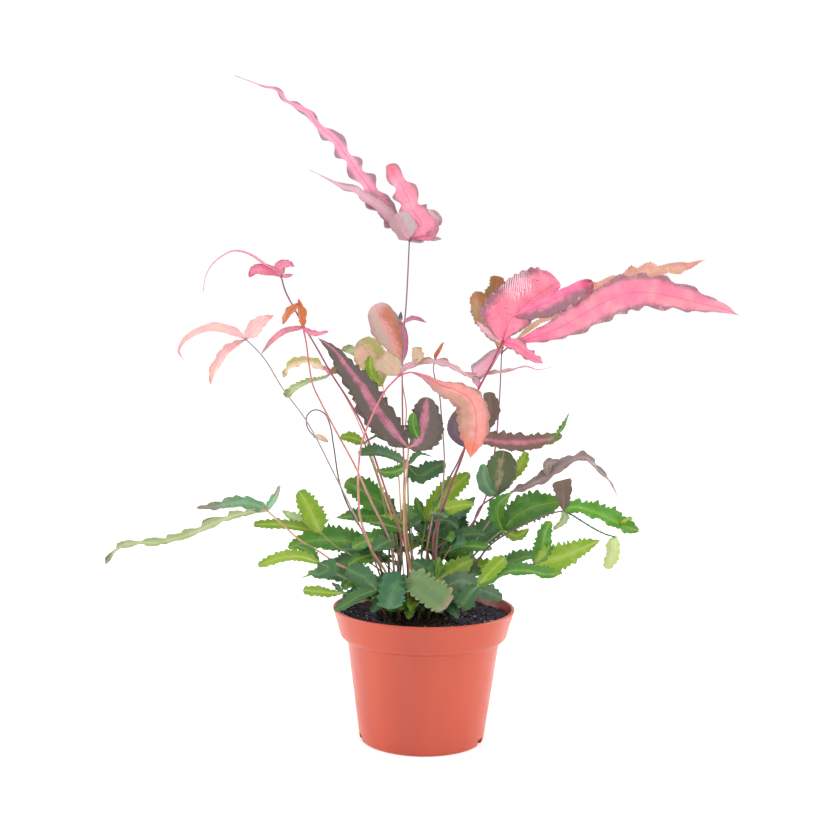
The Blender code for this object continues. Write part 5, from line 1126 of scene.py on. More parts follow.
def atShare(path, lengths, share):
    # The point and the direction at a share of the path's length
    target = share * lengths[-1]
    i = 0
    while i < len(path) - 2 and lengths[i + 1] < target:
        i += 1
    step = (target - lengths[i]) / (lengths[i + 1] - lengths[i])
    near, far = path[max(i - 1, 0)], path[min(i + 2, len(path) - 1)]
    before, after = path[i] - near, far - path[i + 1]
    course = (path[i + 1] - path[i]).normalized()
    if before.length > 0 and after.length > 0:
        course += before.normalized() * (1 - step) * 0.5 + after.normalized() * step * 0.5
    return path[i].lerp(path[i + 1], step), course.normalized()


def nodeOf(frond):
    if "course" in frond:
        return frond["course"][-1]
    return seen(*frond["stalk"][-1], frond["depth"])


def stalkPath(frond):
    ringName, degrees = frond["seat"]
    radius = rootstock["seats"][ringName]
    out = Vector((cos(radians(degrees)), sin(radians(degrees)), 0.0))
    seat = Vector((*rootstock["centre"], crownHeight(radius))) + out * radius
    axis = (out * (radius / rootstock["radius"]) * 0.9 + Vector((0, 0, 1))).normalized()
    points = [seat - axis * (growth["socketDepth"] - 0.6), seat, seat + axis * 6]
    if "course" in frond:
        return smoothPath(points + frond["course"])
    top = frond["stalk"][-1][1]
    for side, height in frond["stalk"]:
        share = max(0.0, (height - soil["top"]) / (top - soil["top"])) if top > soil["top"] + 10 else 1.0
        points.append(seen(side, height, seat.y + (frond["depth"] - seat.y) * share))
    points[-1] = nodeOf(frond)
    return smoothPath(points)


def leafPath(frond, leaf):
    # A leaflet's rib starts at the frond's node, or on the rib that it branches from
    if leaf["on"]:
        parent, share = leaf["on"]
        path = leafPath(frond, frond["leaves"][parent])
        foot = atShare(path, measured(path), share)[0]
    else:
        foot = nodeOf(frond)
    if leaf["depth"] is None:
        return smoothPath([foot] + leaf["rib"])
    start, end, count = foot.y, leaf["depth"][1], len(leaf["rib"])
    points = [foot]
    for i, (side, height) in enumerate(leaf["rib"]):
        points.append(seen(side, height, start + (end - start) * (i + 1) / count))
    return smoothPath(points)


def halfWidth(leaf, share, length):
    inside = min(max(share, 1e-6), 1 - 1e-6)
    low, high = leaf["full"] * leaf["peak"], leaf["full"] * (1 - leaf["peak"])
    swell = (inside / leaf["peak"]) ** low * ((1 - inside) / (1 - leaf["peak"])) ** high
    flare = growth["footHalf"] + growth["footFlare"] * share * length
    return min(leaf["width"] / 2 * swell, flare)


def leafStrand(frond, leaf, pick):
    # Stations along the rib, each with what the outline tree needs there
    path = leafPath(frond, leaf)
    lengths = measured(path)
    count = max(10, ceil(lengths[-1] / growth["step"]))
    teeth, tooth = leaf["teeth"], leaf["tooth"]
    if leaf["look"] in growth["greenLooks"] and teeth:
        teeth = max(teeth, round(lengths[-1] / growth["greenPitch"]))
        tooth = max(tooth, leaf["width"] * growth["greenTooth"])
    amount, waves, phase = leaf["ruffle"]
    start, end = leaf["twist"]
    strand = []
    for i in range(count + 1):
        share = i / count
        centre, along = atShare(path, lengths, share)
        face = Vector(leaf["face"])
        face = (face - along * face.dot(along)).normalized()
        face = Matrix.Rotation(radians(start + (end - start) * share), 3, along) @ face
        strand.append({
            "centre": centre * mm, "sideDir": along.cross(face), "faceDir": face, "share": share,
            "along": share * lengths[-1], "half": halfWidth(leaf, share, lengths[-1]),
            "least": growth["footHalf"] + (growth["tipHalf"] - growth["footHalf"]) * min(1.0, share * 4),
            "width": leaf["width"], "teeth": float(teeth), "tooth": tooth if teeth else 0.0,
            "sharp": leaf["sharp"], "soft": 0.0 if leaf["sharp"] else 1.0, "skew": leaf["skew"],
            "fineDepth": leaf["fine"][0], "finePitch": leaf["fine"][1],
            "lean": leaf["lean"], "stagger": 0.5 if leaf["stagger"] else 0.0, "fold": radians(leaf["fold"]),
            "ruffle": amount, "waves": waves, "phase": phase, "pick": pick,
        })
    return strand


def tubeStrand(path, radiusAt, tintAt, step=1.2, last=1.0):
    lengths = measured(path)
    count = max(6, ceil(lengths[-1] * last / step))
    side = Vector((1, 0, 0))
    strand = []
    for i in range(count + 1):
        share = last * i / count
        centre, along = atShare(path, lengths, share)
        side = (side - along * side.dot(along)).normalized()
        strand.append({"centre": centre * mm, "sideDir": side, "faceDir": along.cross(side), "share": share,
                       "along": share * lengths[-1], "thick": radiusAt(share), "tint": tintAt(share)})
    return strand


vectorNames = {"centre", "sideDir", "faceDir", "tint"}
keptNames = {"across", "share", "along", "reach", "out", "up", "pick", "tint"}


def strandObject(name, strands, tree, ids, inputs):
    # Chains of edges that carry the stations' values, dressed by a geometry tree
    stations = [station for strand in strands for station in strand]
    edges, first = [], 0
    for strand in strands:
        edges += [(first + i, first + i + 1) for i in range(len(strand) - 1)]
        first += len(strand)
    obj = addMesh(name, [station["centre"] for station in stations], [], edges)
    for label in stations[0]:
        isVector = label in vectorNames
        layer = obj.data.attributes.new(label, "FLOAT_VECTOR" if isVector else "FLOAT", "POINT")
        if isVector:
            layer.data.foreach_set("vector", [number for station in stations for number in station[label]])
        else:
            layer.data.foreach_set("value", [station[label] for station in stations])
    grow = obj.modifiers.new("grow", "NODES")
    grow.node_group = tree
    for label, value in inputs.items():
        grow[ids[label]] = value
    plainMesh(obj)
    for label in [layer.name for layer in obj.data.attributes]:
        isPlain = label.startswith(".") or label in ("position", "sharp_face", "material_index")
        if label not in keptNames and not isPlain:
            obj.data.attributes.remove(obj.data.attributes[label])
    work = bmesh.new()
    work.from_mesh(obj.data)
    bmesh.ops.recalc_face_normals(work, faces=work.faces)
    work.to_mesh(obj.data)
    work.free()
    return obj


def named(tree, name, kind="FLOAT"):
    node = tree.nodes.new("GeometryNodeInputNamedAttribute")
    node.data_type = kind
    node.inputs["Name"].default_value = name
    return node.outputs["Attribute"]


def keep(tree, geometry, name, value):
    node = tree.nodes.new("GeometryNodeStoreNamedAttribute")
    node.data_type = "FLOAT"
    node.domain = "POINT"
    node.inputs["Name"].default_value = name
    tree.links.new(geometry, node.inputs["Geometry"])
    tree.links.new(value, node.inputs["Value"])
    return node.outputs["Geometry"]


def sweptRound(tree, given):
    # Each chain of edges becomes a closed tube whose points know where on the round they lie
    curve = tree.nodes.new("GeometryNodeMeshToCurve")
    tree.links.new(given["Geometry"], curve.inputs["Mesh"])
    circle = tree.nodes.new("GeometryNodeCurvePrimitiveCircle")
    circle.inputs["Radius"].default_value = 1.0
    tree.links.new(given["Points Round"], circle.inputs["Resolution"])
    place = tree.nodes.new("ShaderNodeSeparateXYZ")
    tree.links.new(tree.nodes.new("GeometryNodeInputPosition").outputs["Position"], place.inputs[0])
    profile = keep(tree, circle.outputs["Curve"], "across", place.outputs["X"])
    profile = keep(tree, profile, "up", place.outputs["Y"])
    sweep = tree.nodes.new("GeometryNodeCurveToMesh")
    tree.links.new(curve.outputs["Curve"], sweep.inputs["Curve"])
    tree.links.new(profile, sweep.inputs["Profile Curve"])
    sweep.inputs["Fill Caps"].default_value = True
    return sweep.outputs["Mesh"]


def placed(tree, geometry, sideways, upwards):
    # Every point goes to its rib, then sideways and upwards by these mm
    offset = summed(tree, named(tree, "centre", "FLOAT_VECTOR"),
                    scaled(tree, named(tree, "sideDir", "FLOAT_VECTOR"), math(tree, "MULTIPLY", sideways, mm)),
                    scaled(tree, named(tree, "faceDir", "FLOAT_VECTOR"), math(tree, "MULTIPLY", upwards, mm)))
    move = tree.nodes.new("GeometryNodeSetPosition")
    tree.links.new(geometry, move.inputs["Geometry"])
    tree.links.new(offset, move.inputs["Position"])
    return move.outputs["Geometry"]


def saw(tree, count, lean):
    # 0 at each notch, 1 at each tooth's tip, which leans towards the leaflet's own tip
    turn = math(tree, "FRACT", count)
    rising = math(tree, "DIVIDE", turn, lean)
    falling = math(tree, "DIVIDE", math(tree, "SUBTRACT", 1.0, turn), math(tree, "SUBTRACT", 1.0, lean))
    return math(tree, "MINIMUM", rising, falling)


def chance(tree, value, low, high, seed):
    noise = tree.nodes.new("ShaderNodeTexWhiteNoise")
    noise.noise_dimensions = "1D"
    tree.links.new(math(tree, "ADD", value, seed), noise.inputs["W"])
    return math(tree, "MULTIPLY_ADD", noise.outputs["Value"], high - low, low)


def leafTree():
    tree, ids = newTree("leaflets", [("Thickness", "NodeSocketFloat", 0.4), ("Unevenness", "NodeSocketFloat", 0.1),
                                     ("Points Round", "NodeSocketInt", 16), ("Seed", "NodeSocketInt", 1),
                                     ("Finish", "NodeSocketMaterial", None)])
    given = tree.nodes.new("NodeGroupInput").outputs
    mesh = sweptRound(tree, given)
    across, share, along, half = (named(tree, name) for name in ("across", "share", "along", "half"))
    teeth, pick, ruffle = (named(tree, name) for name in ("teeth", "pick", "ruffle"))
    wide = math(tree, "ABSOLUTE", across)
    hand = math(tree, "SIGN", across)
    # One side of a leaflet is never quite the other's mirror image
    drift = math(tree, "MULTIPLY_ADD", pick, 50.0, math(tree, "MULTIPLY", hand, 2.0))
    drift = math(tree, "MULTIPLY_ADD", share, 7.0, drift)
    uneven = math(tree, "MULTIPLY_ADD", math(tree, "SINE", drift), given["Unevenness"], 1.0)
    half = math(tree, "MULTIPLY", half, math(tree, "MULTIPLY_ADD", hand, named(tree, "skew"), uneven))
    fullness = math(tree, "DIVIDE", half, math(tree, "MULTIPLY", named(tree, "width"), 0.42))
    fullness = math(tree, "MINIMUM", 1.0, fullness)

    # Lobes: unevenly spaced, and their tips unevenly far out
    count = math(tree, "MULTIPLY", share, teeth)
    swing = math(tree, "SINE", math(tree, "ADD", math(tree, "MULTIPLY", count, 1.9),
                                    math(tree, "MULTIPLY_ADD", pick, 40.0, hand)))
    offset = math(tree, "MULTIPLY", math(tree, "LESS_THAN", across, 0.0), named(tree, "stagger"))
    count = math(tree, "ADD", math(tree, "MULTIPLY_ADD", swing, 0.17, count), math(tree, "ADD", offset, 1.0))
    rise = saw(tree, count, named(tree, "lean"))
    lobe = math(tree, "ADD", math(tree, "FLOOR", count), math(tree, "MULTIPLY_ADD", pick, 70.0,
                                                              math(tree, "MULTIPLY", hand, 13.0)))
    pointed = math(tree, "POWER", math(tree, "SUBTRACT", 1.0, rise), named(tree, "sharp"))
    rounded = math(tree, "MULTIPLY_ADD", math(tree, "COSINE", math(tree, "MULTIPLY", rise, pi)), 0.5, 0.5)
    soft = named(tree, "soft")
    cut = math(tree, "ADD", math(tree, "MULTIPLY", rounded, soft),
               math(tree, "MULTIPLY", pointed, math(tree, "SUBTRACT", 1.0, soft)))
    cut = math(tree, "MULTIPLY_ADD", rise, chance(tree, lobe, -0.15, 0.45, given["Seed"]), cut)
    cut = math(tree, "MULTIPLY", math(tree, "MULTIPLY", cut, named(tree, "tooth")), fullness)

    # Fine teeth all along the edge
    fineCount = math(tree, "DIVIDE", math(tree, "MULTIPLY_ADD", hand, 0.4, along), named(tree, "finePitch"))
    fineRise = saw(tree, math(tree, "ADD", fineCount, 2.0), 0.7)
    fine = math(tree, "MULTIPLY", math(tree, "SUBTRACT", 1.0, fineRise), named(tree, "fineDepth"))
    fine = math(tree, "MULTIPLY", fine, math(tree, "MINIMUM", 1.0, math(tree, "DIVIDE", half, 3.0)))

    edge = math(tree, "SUBTRACT", math(tree, "SUBTRACT", half, cut), fine)
    edge = math(tree, "MAXIMUM", edge, named(tree, "least"))
    mesh = keep(tree, mesh, "reach", edge)
    mesh = keep(tree, mesh, "out", math(tree, "DIVIDE", math(tree, "MULTIPLY", wide, edge),
                                        math(tree, "MAXIMUM", half, 0.6)))

    # The blade lifts on both sides of its rib, waves along its edges, and each lobe is a little hollow
    fold = named(tree, "fold")
    sideways = math(tree, "MULTIPLY", math(tree, "MULTIPLY", across, edge), math(tree, "COSINE", fold))
    lift = math(tree, "MULTIPLY", math(tree, "MULTIPLY", math(tree, "POWER", wide, 1.3), edge),
                math(tree, "SINE", fold))
    phase = math(tree, "MULTIPLY_ADD", hand, pi / 2, named(tree, "phase"))
    turn = math(tree, "MULTIPLY", math(tree, "MULTIPLY", share, named(tree, "waves")), tau)
    wave = math(tree, "SINE", math(tree, "ADD", turn, phase))
    second = math(tree, "MULTIPLY_ADD", turn, 2.3, math(tree, "MULTIPLY_ADD", pick, 9.0, phase))
    second = math(tree, "SINE", second)
    wave = math(tree, "MULTIPLY", math(tree, "MULTIPLY_ADD", second, 0.3, wave), ruffle)
    wave = math(tree, "MULTIPLY", math(tree, "MULTIPLY", wave, fullness), math(tree, "POWER", wide, 1.6))
    noise = tree.nodes.new("ShaderNodeTexNoise")
    noise.inputs["Scale"].default_value = 110.0
    noise.inputs["Detail"].default_value = 1.0
    sway = math(tree, "MULTIPLY", math(tree, "SUBTRACT", noise.outputs["Fac"], 0.5), 1.6)
    sway = math(tree, "MULTIPLY", sway, math(tree, "MULTIPLY", wide, fullness))
    hollow = math(tree, "MULTIPLY", math(tree, "MULTIPLY", rise, math(tree, "POWER", wide, 2.5)), 0.3)
    hollow = math(tree, "MULTIPLY", hollow, math(tree, "MULTIPLY", named(tree, "tooth"), fullness))
    body = math(tree, "MULTIPLY", math(tree, "MULTIPLY", named(tree, "up"), given["Thickness"]), 0.5)
    upwards = math(tree, "ADD", math(tree, "ADD", lift, wave), math(tree, "ADD", sway, hollow))
    upwards = math(tree, "ADD", upwards, body)
    finishTree(tree, placed(tree, mesh, sideways, upwards), given["Finish"])
    return tree, ids


def tubeTree():
    tree, ids = newTree("stems", [("Groove", "NodeSocketFloat", 0.15), ("Points Round", "NodeSocketInt", 8),
                                  ("Finish", "NodeSocketMaterial", None)])
    given = tree.nodes.new("NodeGroupInput").outputs
    mesh = sweptRound(tree, given)
    across, high, radius = (named(tree, name) for name in ("across", "up", "thick"))
    dent = math(tree, "POWER", math(tree, "MAXIMUM", math(tree, "MULTIPLY", high, -1.0), 0.0), 4.0)
    dent = math(tree, "MULTIPLY", dent, given["Groove"])
    radius = math(tree, "MULTIPLY", radius, math(tree, "SUBTRACT", 1.0, dent))
    sideways = math(tree, "MULTIPLY", across, radius)
    upwards = math(tree, "MULTIPLY", high, radius)
    finishTree(tree, placed(tree, mesh, sideways, upwards), given["Finish"])
    return tree, ids


# Short fronds that fill the middle of the plant, all the way round
undergrowth = {
    "fronds": 34,
    "seed": 21,
    "pointsRound": 12,
    "reach": (10.0, 40.0),       # how far out the nodes lie, mm
    "height": (96.0, 148.0),
    "frontHeight": 100.0,
    "leafLength": (17.0, 28.0),
    "leafWidth": (10.0, 16.0),
    "looks": ("dark", "green", "teal", "green", "dark", "green", "lime", "dark", "green"),
    "stalks": ("green", "dark", "green", "tan"),
}


def undergrowthFronds():
    draw = Random(undergrowth["seed"])
    made = {}
    rings = list(rootstock["seats"])
    for i in range(undergrowth["fronds"]):
        turn = i * 2.39996 + draw.uniform(-0.2, 0.2)
        out = Vector((cos(turn), sin(turn), 0.0))
        low, high = undergrowth["reach"]
        reach = low + (high - low) * (i / undergrowth["fronds"]) ** 0.7 + draw.uniform(-3, 3)
        low, high = undergrowth["height"]
        height = high + (low - high) * (i / undergrowth["fronds"]) ** 0.8 + draw.uniform(-8, 8)
        if out.y < -0.3:
            reach, height = reach * 0.55, undergrowth["frontHeight"] + draw.uniform(-5, 5)
        node = Vector((*rootstock["centre"], height)) + out * reach
        ring = rings[min(int(reach / 12), 3)]
        seat = Vector((*rootstock["centre"], crownHeight(rootstock["seats"][ring]))) + out * rootstock["seats"][ring]
        middle = seat.lerp(node, 0.5) + Vector((0, 0, 5)) + out * draw.uniform(-2, 1)
        leaves = []
        count = draw.choice((3, 3, 4))
        for k in range(count):
            fan = turn + (k - (count - 1) / 2) * draw.uniform(0.75, 1.05)
            way = Vector((cos(fan), sin(fan), draw.uniform(-0.1, 0.45)))
            length = draw.uniform(*undergrowth["leafLength"]) * (1.1 if 0 < k < count - 1 else 0.85)
            droop = Vector((0, 0, -draw.uniform(2, 7)))
            rib = [node + way * length * 0.35, node + way * length * 0.7 + droop * 0.3, node + way * length + droop]
            face = (out.x * -0.35, out.y * -0.35, 1.0)
            if node.y < 20:
                face = (draw.uniform(-0.3, 0.3), -0.8, 0.7)
            leaves.append(pinna(
                draw.choice(undergrowth["looks"]), draw.uniform(*undergrowth["leafWidth"]), None, rib, face=face,
                peak=draw.uniform(0.4, 0.5), full=0.9, fold=draw.uniform(6, 20),
                ruffle=(0.7, 2.5, draw.uniform(0, 6))))
        shade = draw.choice(undergrowth["stalks"])
        made["undergrowth" + str(i)] = dict(
            seat=(ring, turn * 180 / pi), colour=shade, course=[middle, node], stem=0.45, leaves=leaves)
    return made


# Leaflet colours, as they show on screen. A look fills in only what differs from plainLook.
plainLook = {
    "centre": (150, 190, 110),   # beside the rib
    "blade": (110, 160, 80),
    "margin": (90, 140, 70),
    "tip": None,
    "foot": None,
    "patch": None,               # a second colour in broad patches
    "half": None,                # a second colour on one side of the rib
    "streak": None,              # pale streaks beside the other side's edge
    "vein": (70, 110, 60),
    "speck": (60, 60, 45),
    "under": None,
    "rib": (150, 170, 90),
    "centreStart": 0.02,
    "centreEnd": 0.35,
    "marginStart": 0.78,
    "marginSoft": 0.14,
    "fray": 0.35,                # how unevenly the bands end
    "tipStart": 0.82,
    "footEnd": 0.12,
    "veinPitch": 1.25,           # mm
    "veinStrength": 0.35,
    "specks": 0.12,
    "roughness": 0.42,
    "glow": 0.16,                # how much light comes through
}
looks = {
    "topPink": dict(centre=(246, 172, 198), blade=(244, 168, 192), margin=(168, 134, 144),
          tip=(176, 156, 160), rib=(236, 130, 166), vein=(240, 140, 168), speck=(190, 100, 130),
          under=(196, 152, 162), marginStart=0.3, marginSoft=0.36, fray=0.16, veinStrength=0.32, specks=0.06),
    "topUnder": dict(centre=(190, 150, 158), blade=(182, 144, 148), margin=(196, 104, 132),
          half=(200, 176, 180), foot=(170, 40, 84), rib=(226, 150, 172), vein=(150, 112, 122),
          under=(196, 160, 168), marginStart=0.84, fray=0.2),
    "topMauve": dict(centre=(240, 190, 204), blade=(228, 182, 194), margin=(174, 142, 148),
          tip=(176, 146, 152), rib=(244, 190, 204), vein=(196, 140, 156), marginStart=0.46, marginSoft=0.34,
          fray=0.25),
    "topBright": dict(centre=(246, 162, 180), blade=(248, 152, 172), margin=(168, 124, 132),
          foot=(250, 122, 162), tip=(206, 110, 128), rib=(238, 120, 156), vein=(240, 120, 152),
          under=(190, 142, 152), marginStart=0.42, marginSoft=0.36, fray=0.25, footEnd=0.3, tipStart=0.8,
          veinStrength=0.3, specks=0.05),
    "rose": dict(centre=(238, 150, 170), blade=(226, 130, 154), margin=(190, 96, 120), tip=(176, 72, 100),
          rib=(236, 150, 172), vein=(206, 92, 116), fray=0.2, specks=0.03),
    "hotPink": dict(centre=(246, 138, 166), blade=(248, 146, 172), margin=(166, 124, 132),
          patch=(250, 158, 172), foot=(246, 112, 152), tip=(238, 170, 184), rib=(228, 108, 148),
          vein=(222, 92, 132), speck=(170, 60, 100), under=(220, 160, 174), marginStart=0.52, marginSoft=0.3,
          fray=0.22, footEnd=0.3, veinStrength=0.34, specks=0.14),
    "widePink": dict(centre=(246, 132, 158), blade=(246, 142, 162), margin=(150, 112, 122),
          streak=(250, 226, 234), tip=(240, 140, 168), rib=(222, 96, 136), vein=(196, 56, 96),
          speck=(104, 28, 52), under=(225, 150, 168), marginStart=0.6, marginSoft=0.26, fray=0.2,
          veinStrength=0.55, specks=0.5),
    "olive": dict(centre=(172, 136, 88), blade=(156, 126, 80), margin=(142, 106, 76), patch=(170, 138, 92),
          tip=(176, 116, 74), rib=(186, 140, 110), vein=(110, 84, 52), speck=(170, 84, 56), tipStart=0.7,
          specks=0.2),
    "salmonOlive": dict(centre=(230, 180, 162), blade=(218, 162, 146), margin=(176, 138, 118),
          patch=(200, 168, 130), foot=(188, 180, 130), tip=(220, 148, 140), rib=(216, 156, 140),
          vein=(206, 140, 116), marginStart=0.72, marginSoft=0.25, fray=0.3, footEnd=0.42),
    "pinkThread": dict(centre=(246, 156, 178), blade=(236, 146, 166), margin=(206, 120, 140),
          tip=(158, 146, 144), rib=(232, 150, 170), vein=(210, 100, 130), fray=0.2, tipStart=0.5,
          specks=0.03),
    "mauvePale": dict(centre=(226, 166, 182), blade=(206, 170, 174), margin=(158, 134, 122),
          patch=(178, 148, 118), tip=(204, 190, 190), rib=(214, 140, 160), vein=(190, 146, 150),
          marginStart=0.46, marginSoft=0.34, fray=0.35, tipStart=0.5),
    "tealPale": dict(centre=(150, 186, 146), blade=(112, 152, 116), margin=(92, 126, 88),
          patch=(128, 164, 112), rib=(150, 170, 130), vein=(90, 120, 86)),
    "palePink": dict(centre=(250, 214, 212), blade=(245, 196, 196), margin=(228, 156, 156),
          patch=(242, 206, 186), tip=(232, 146, 138), rib=(232, 160, 172), vein=(232, 160, 172),
          speck=(220, 130, 150), fray=0.25, tipStart=0.74, specks=0.04, glow=0.3),
    "salmon": dict(centre=(238, 160, 152), blade=(234, 160, 154), margin=(170, 134, 122),
          half=(202, 154, 136), foot=(192, 118, 150), tip=(236, 136, 114), rib=(212, 104, 116),
          vein=(214, 118, 106), speck=(190, 100, 80), marginStart=0.6, marginSoft=0.3, fray=0.3, footEnd=0.42,
          tipStart=0.76, specks=0.1),
    "cream": dict(centre=(246, 224, 198), blade=(240, 212, 184), margin=(204, 186, 140), half=(186, 190, 112),
          patch=(244, 206, 184), tip=(176, 176, 134), rib=(214, 170, 150), vein=(200, 170, 124),
          marginStart=0.74, marginSoft=0.22, fray=0.3),
    "orangeFold": dict(centre=(192, 96, 60), blade=(204, 118, 70), margin=(146, 80, 64), patch=(214, 132, 84),
          tip=(186, 104, 92), rib=(136, 58, 60), vein=(180, 90, 60)),
    "rust": dict(centre=(232, 150, 146), blade=(196, 172, 160), margin=(166, 146, 136), half=(200, 122, 98),
          foot=(226, 160, 142), tip=(210, 178, 178), rib=(226, 136, 136), vein=(190, 140, 126),
          speck=(150, 70, 56), marginStart=0.62, marginSoft=0.3, fray=0.35, footEnd=0.4, specks=0.14),
    "bronzeFlame": dict(centre=(210, 130, 156), blade=(108, 97, 90), margin=(92, 84, 74), tip=(108, 98, 84),
          rib=(222, 140, 166), vein=(104, 88, 80), speck=(84, 64, 56), centreStart=0.1, centreEnd=0.3,
          marginStart=0.6, marginSoft=0.25, fray=0.24, specks=0.15),
    "bronzeTip": dict(centre=(214, 128, 150), blade=(130, 104, 92), margin=(104, 92, 70), tip=(108, 150, 70),
          rib=(222, 130, 156), vein=(100, 80, 66), under=(170, 120, 124), centreEnd=0.34, marginStart=0.6,
          marginSoft=0.25, fray=0.35, tipStart=0.74),
    "bronze": dict(centre=(134, 110, 98), blade=(122, 102, 92), margin=(100, 84, 74), tip=(126, 112, 90),
          rib=(152, 120, 112), vein=(92, 70, 50)),
    "stripedBronze": dict(centre=(186, 164, 132), blade=(92, 124, 72), margin=(104, 104, 80),
          half=(104, 112, 84), tip=(106, 116, 68), rib=(200, 168, 142), vein=(86, 72, 48), centreEnd=0.3,
          marginStart=0.6, fray=0.5),
    "greyMauve": dict(centre=(176, 150, 146), blade=(147, 134, 130), margin=(112, 112, 92),
          patch=(168, 140, 138), tip=(124, 118, 104), rib=(190, 140, 148), vein=(108, 92, 88)),
    "green": dict(centre=(106, 156, 62), blade=(76, 130, 48), margin=(64, 110, 42), patch=(92, 146, 54),
          tip=(109, 150, 55), rib=(160, 168, 90), vein=(60, 106, 40)),
    "vivid": dict(centre=(116, 172, 60), blade=(90, 150, 44), margin=(70, 122, 40), patch=(104, 164, 52),
          tip=(92, 140, 56), rib=(150, 180, 80), vein=(60, 116, 34)),
    "lime": dict(centre=(158, 184, 66), blade=(132, 166, 46), margin=(103, 147, 47), patch=(152, 178, 62),
          tip=(124, 158, 55), rib=(186, 196, 104), vein=(116, 156, 52)),
    "paleLime": dict(centre=(226, 234, 186), blade=(212, 224, 164), margin=(176, 200, 122),
          rib=(222, 226, 180), vein=(160, 186, 110), glow=0.5),
    "teal": dict(centre=(82, 132, 84), blade=(58, 106, 72), margin=(46, 88, 58), patch=(74, 122, 74),
          tip=(78, 124, 74), rib=(104, 138, 92), vein=(34, 70, 52)),
    "dark": dict(centre=(90, 130, 84), blade=(66, 108, 68), margin=(50, 86, 52), patch=(77, 119, 63),
          tip=(77, 117, 60), rib=(116, 140, 84), vein=(42, 78, 44)),
    "paleGreen": dict(centre=(190, 206, 156), blade=(168, 189, 132), margin=(122, 146, 84),
          patch=(184, 200, 150), tip=(134, 140, 84), rib=(196, 190, 150), vein=(120, 150, 90)),
    "longGreen": dict(centre=(196, 204, 160), blade=(166, 186, 128), margin=(116, 122, 74),
          tip=(120, 118, 84), rib=(200, 180, 160), vein=(124, 146, 90), marginStart=0.66, marginSoft=0.2,
          fray=0.4),
    "scallop": dict(centre=(96, 132, 78), blade=(114, 142, 90), margin=(176, 152, 126), tip=(164, 144, 120),
          rib=(120, 120, 90), vein=(84, 112, 70), marginStart=0.72, marginSoft=0.26, fray=0.25),
    "sage": dict(centre=(108, 133, 101), blade=(94, 121, 92), margin=(119, 126, 94), patch=(79, 112, 83),
          rib=(130, 140, 110), vein=(80, 108, 80)),
    "fanTip": dict(centre=(248, 120, 162), blade=(248, 130, 166), margin=(150, 104, 116),
          half=(152, 112, 122), tip=(150, 46, 72), rib=(238, 100, 146), vein=(214, 92, 134),
          speck=(150, 50, 90), under=(220, 160, 174), marginStart=0.93, marginSoft=0.05, fray=0.22,
          tipStart=0.84, veinStrength=0.3, specks=0.14),
    "mauvePink": dict(centre=(214, 130, 164), blade=(196, 122, 150), margin=(150, 104, 118),
          tip=(140, 104, 104), rib=(210, 120, 156), vein=(176, 90, 120), specks=0.04),
    "tan": dict(centre=(214, 188, 158), blade=(206, 178, 146), margin=(184, 150, 124), patch=(214, 190, 160),
          tip=(168, 140, 112), rib=(210, 160, 140), vein=(184, 150, 120)),
    "webPink": dict(centre=(246, 180, 198), blade=(238, 190, 202), margin=(176, 164, 166),
          tip=(190, 180, 182), rib=(232, 170, 190), vein=(214, 160, 176), marginStart=0.5, marginSoft=0.3,
          fray=0.25, tipStart=0.6, specks=0.02, glow=0.3),
    "mauveYellow": dict(centre=(124, 98, 114), blade=(108, 90, 104), margin=(88, 72, 86),
          foot=(226, 200, 136), rib=(140, 100, 124), vein=(90, 72, 84), footEnd=0.5),
    "sageMauve": dict(centre=(136, 178, 136), blade=(114, 160, 114), margin=(98, 136, 96),
          tip=(152, 124, 120), rib=(140, 160, 124), vein=(96, 134, 96), tipStart=0.4),
}


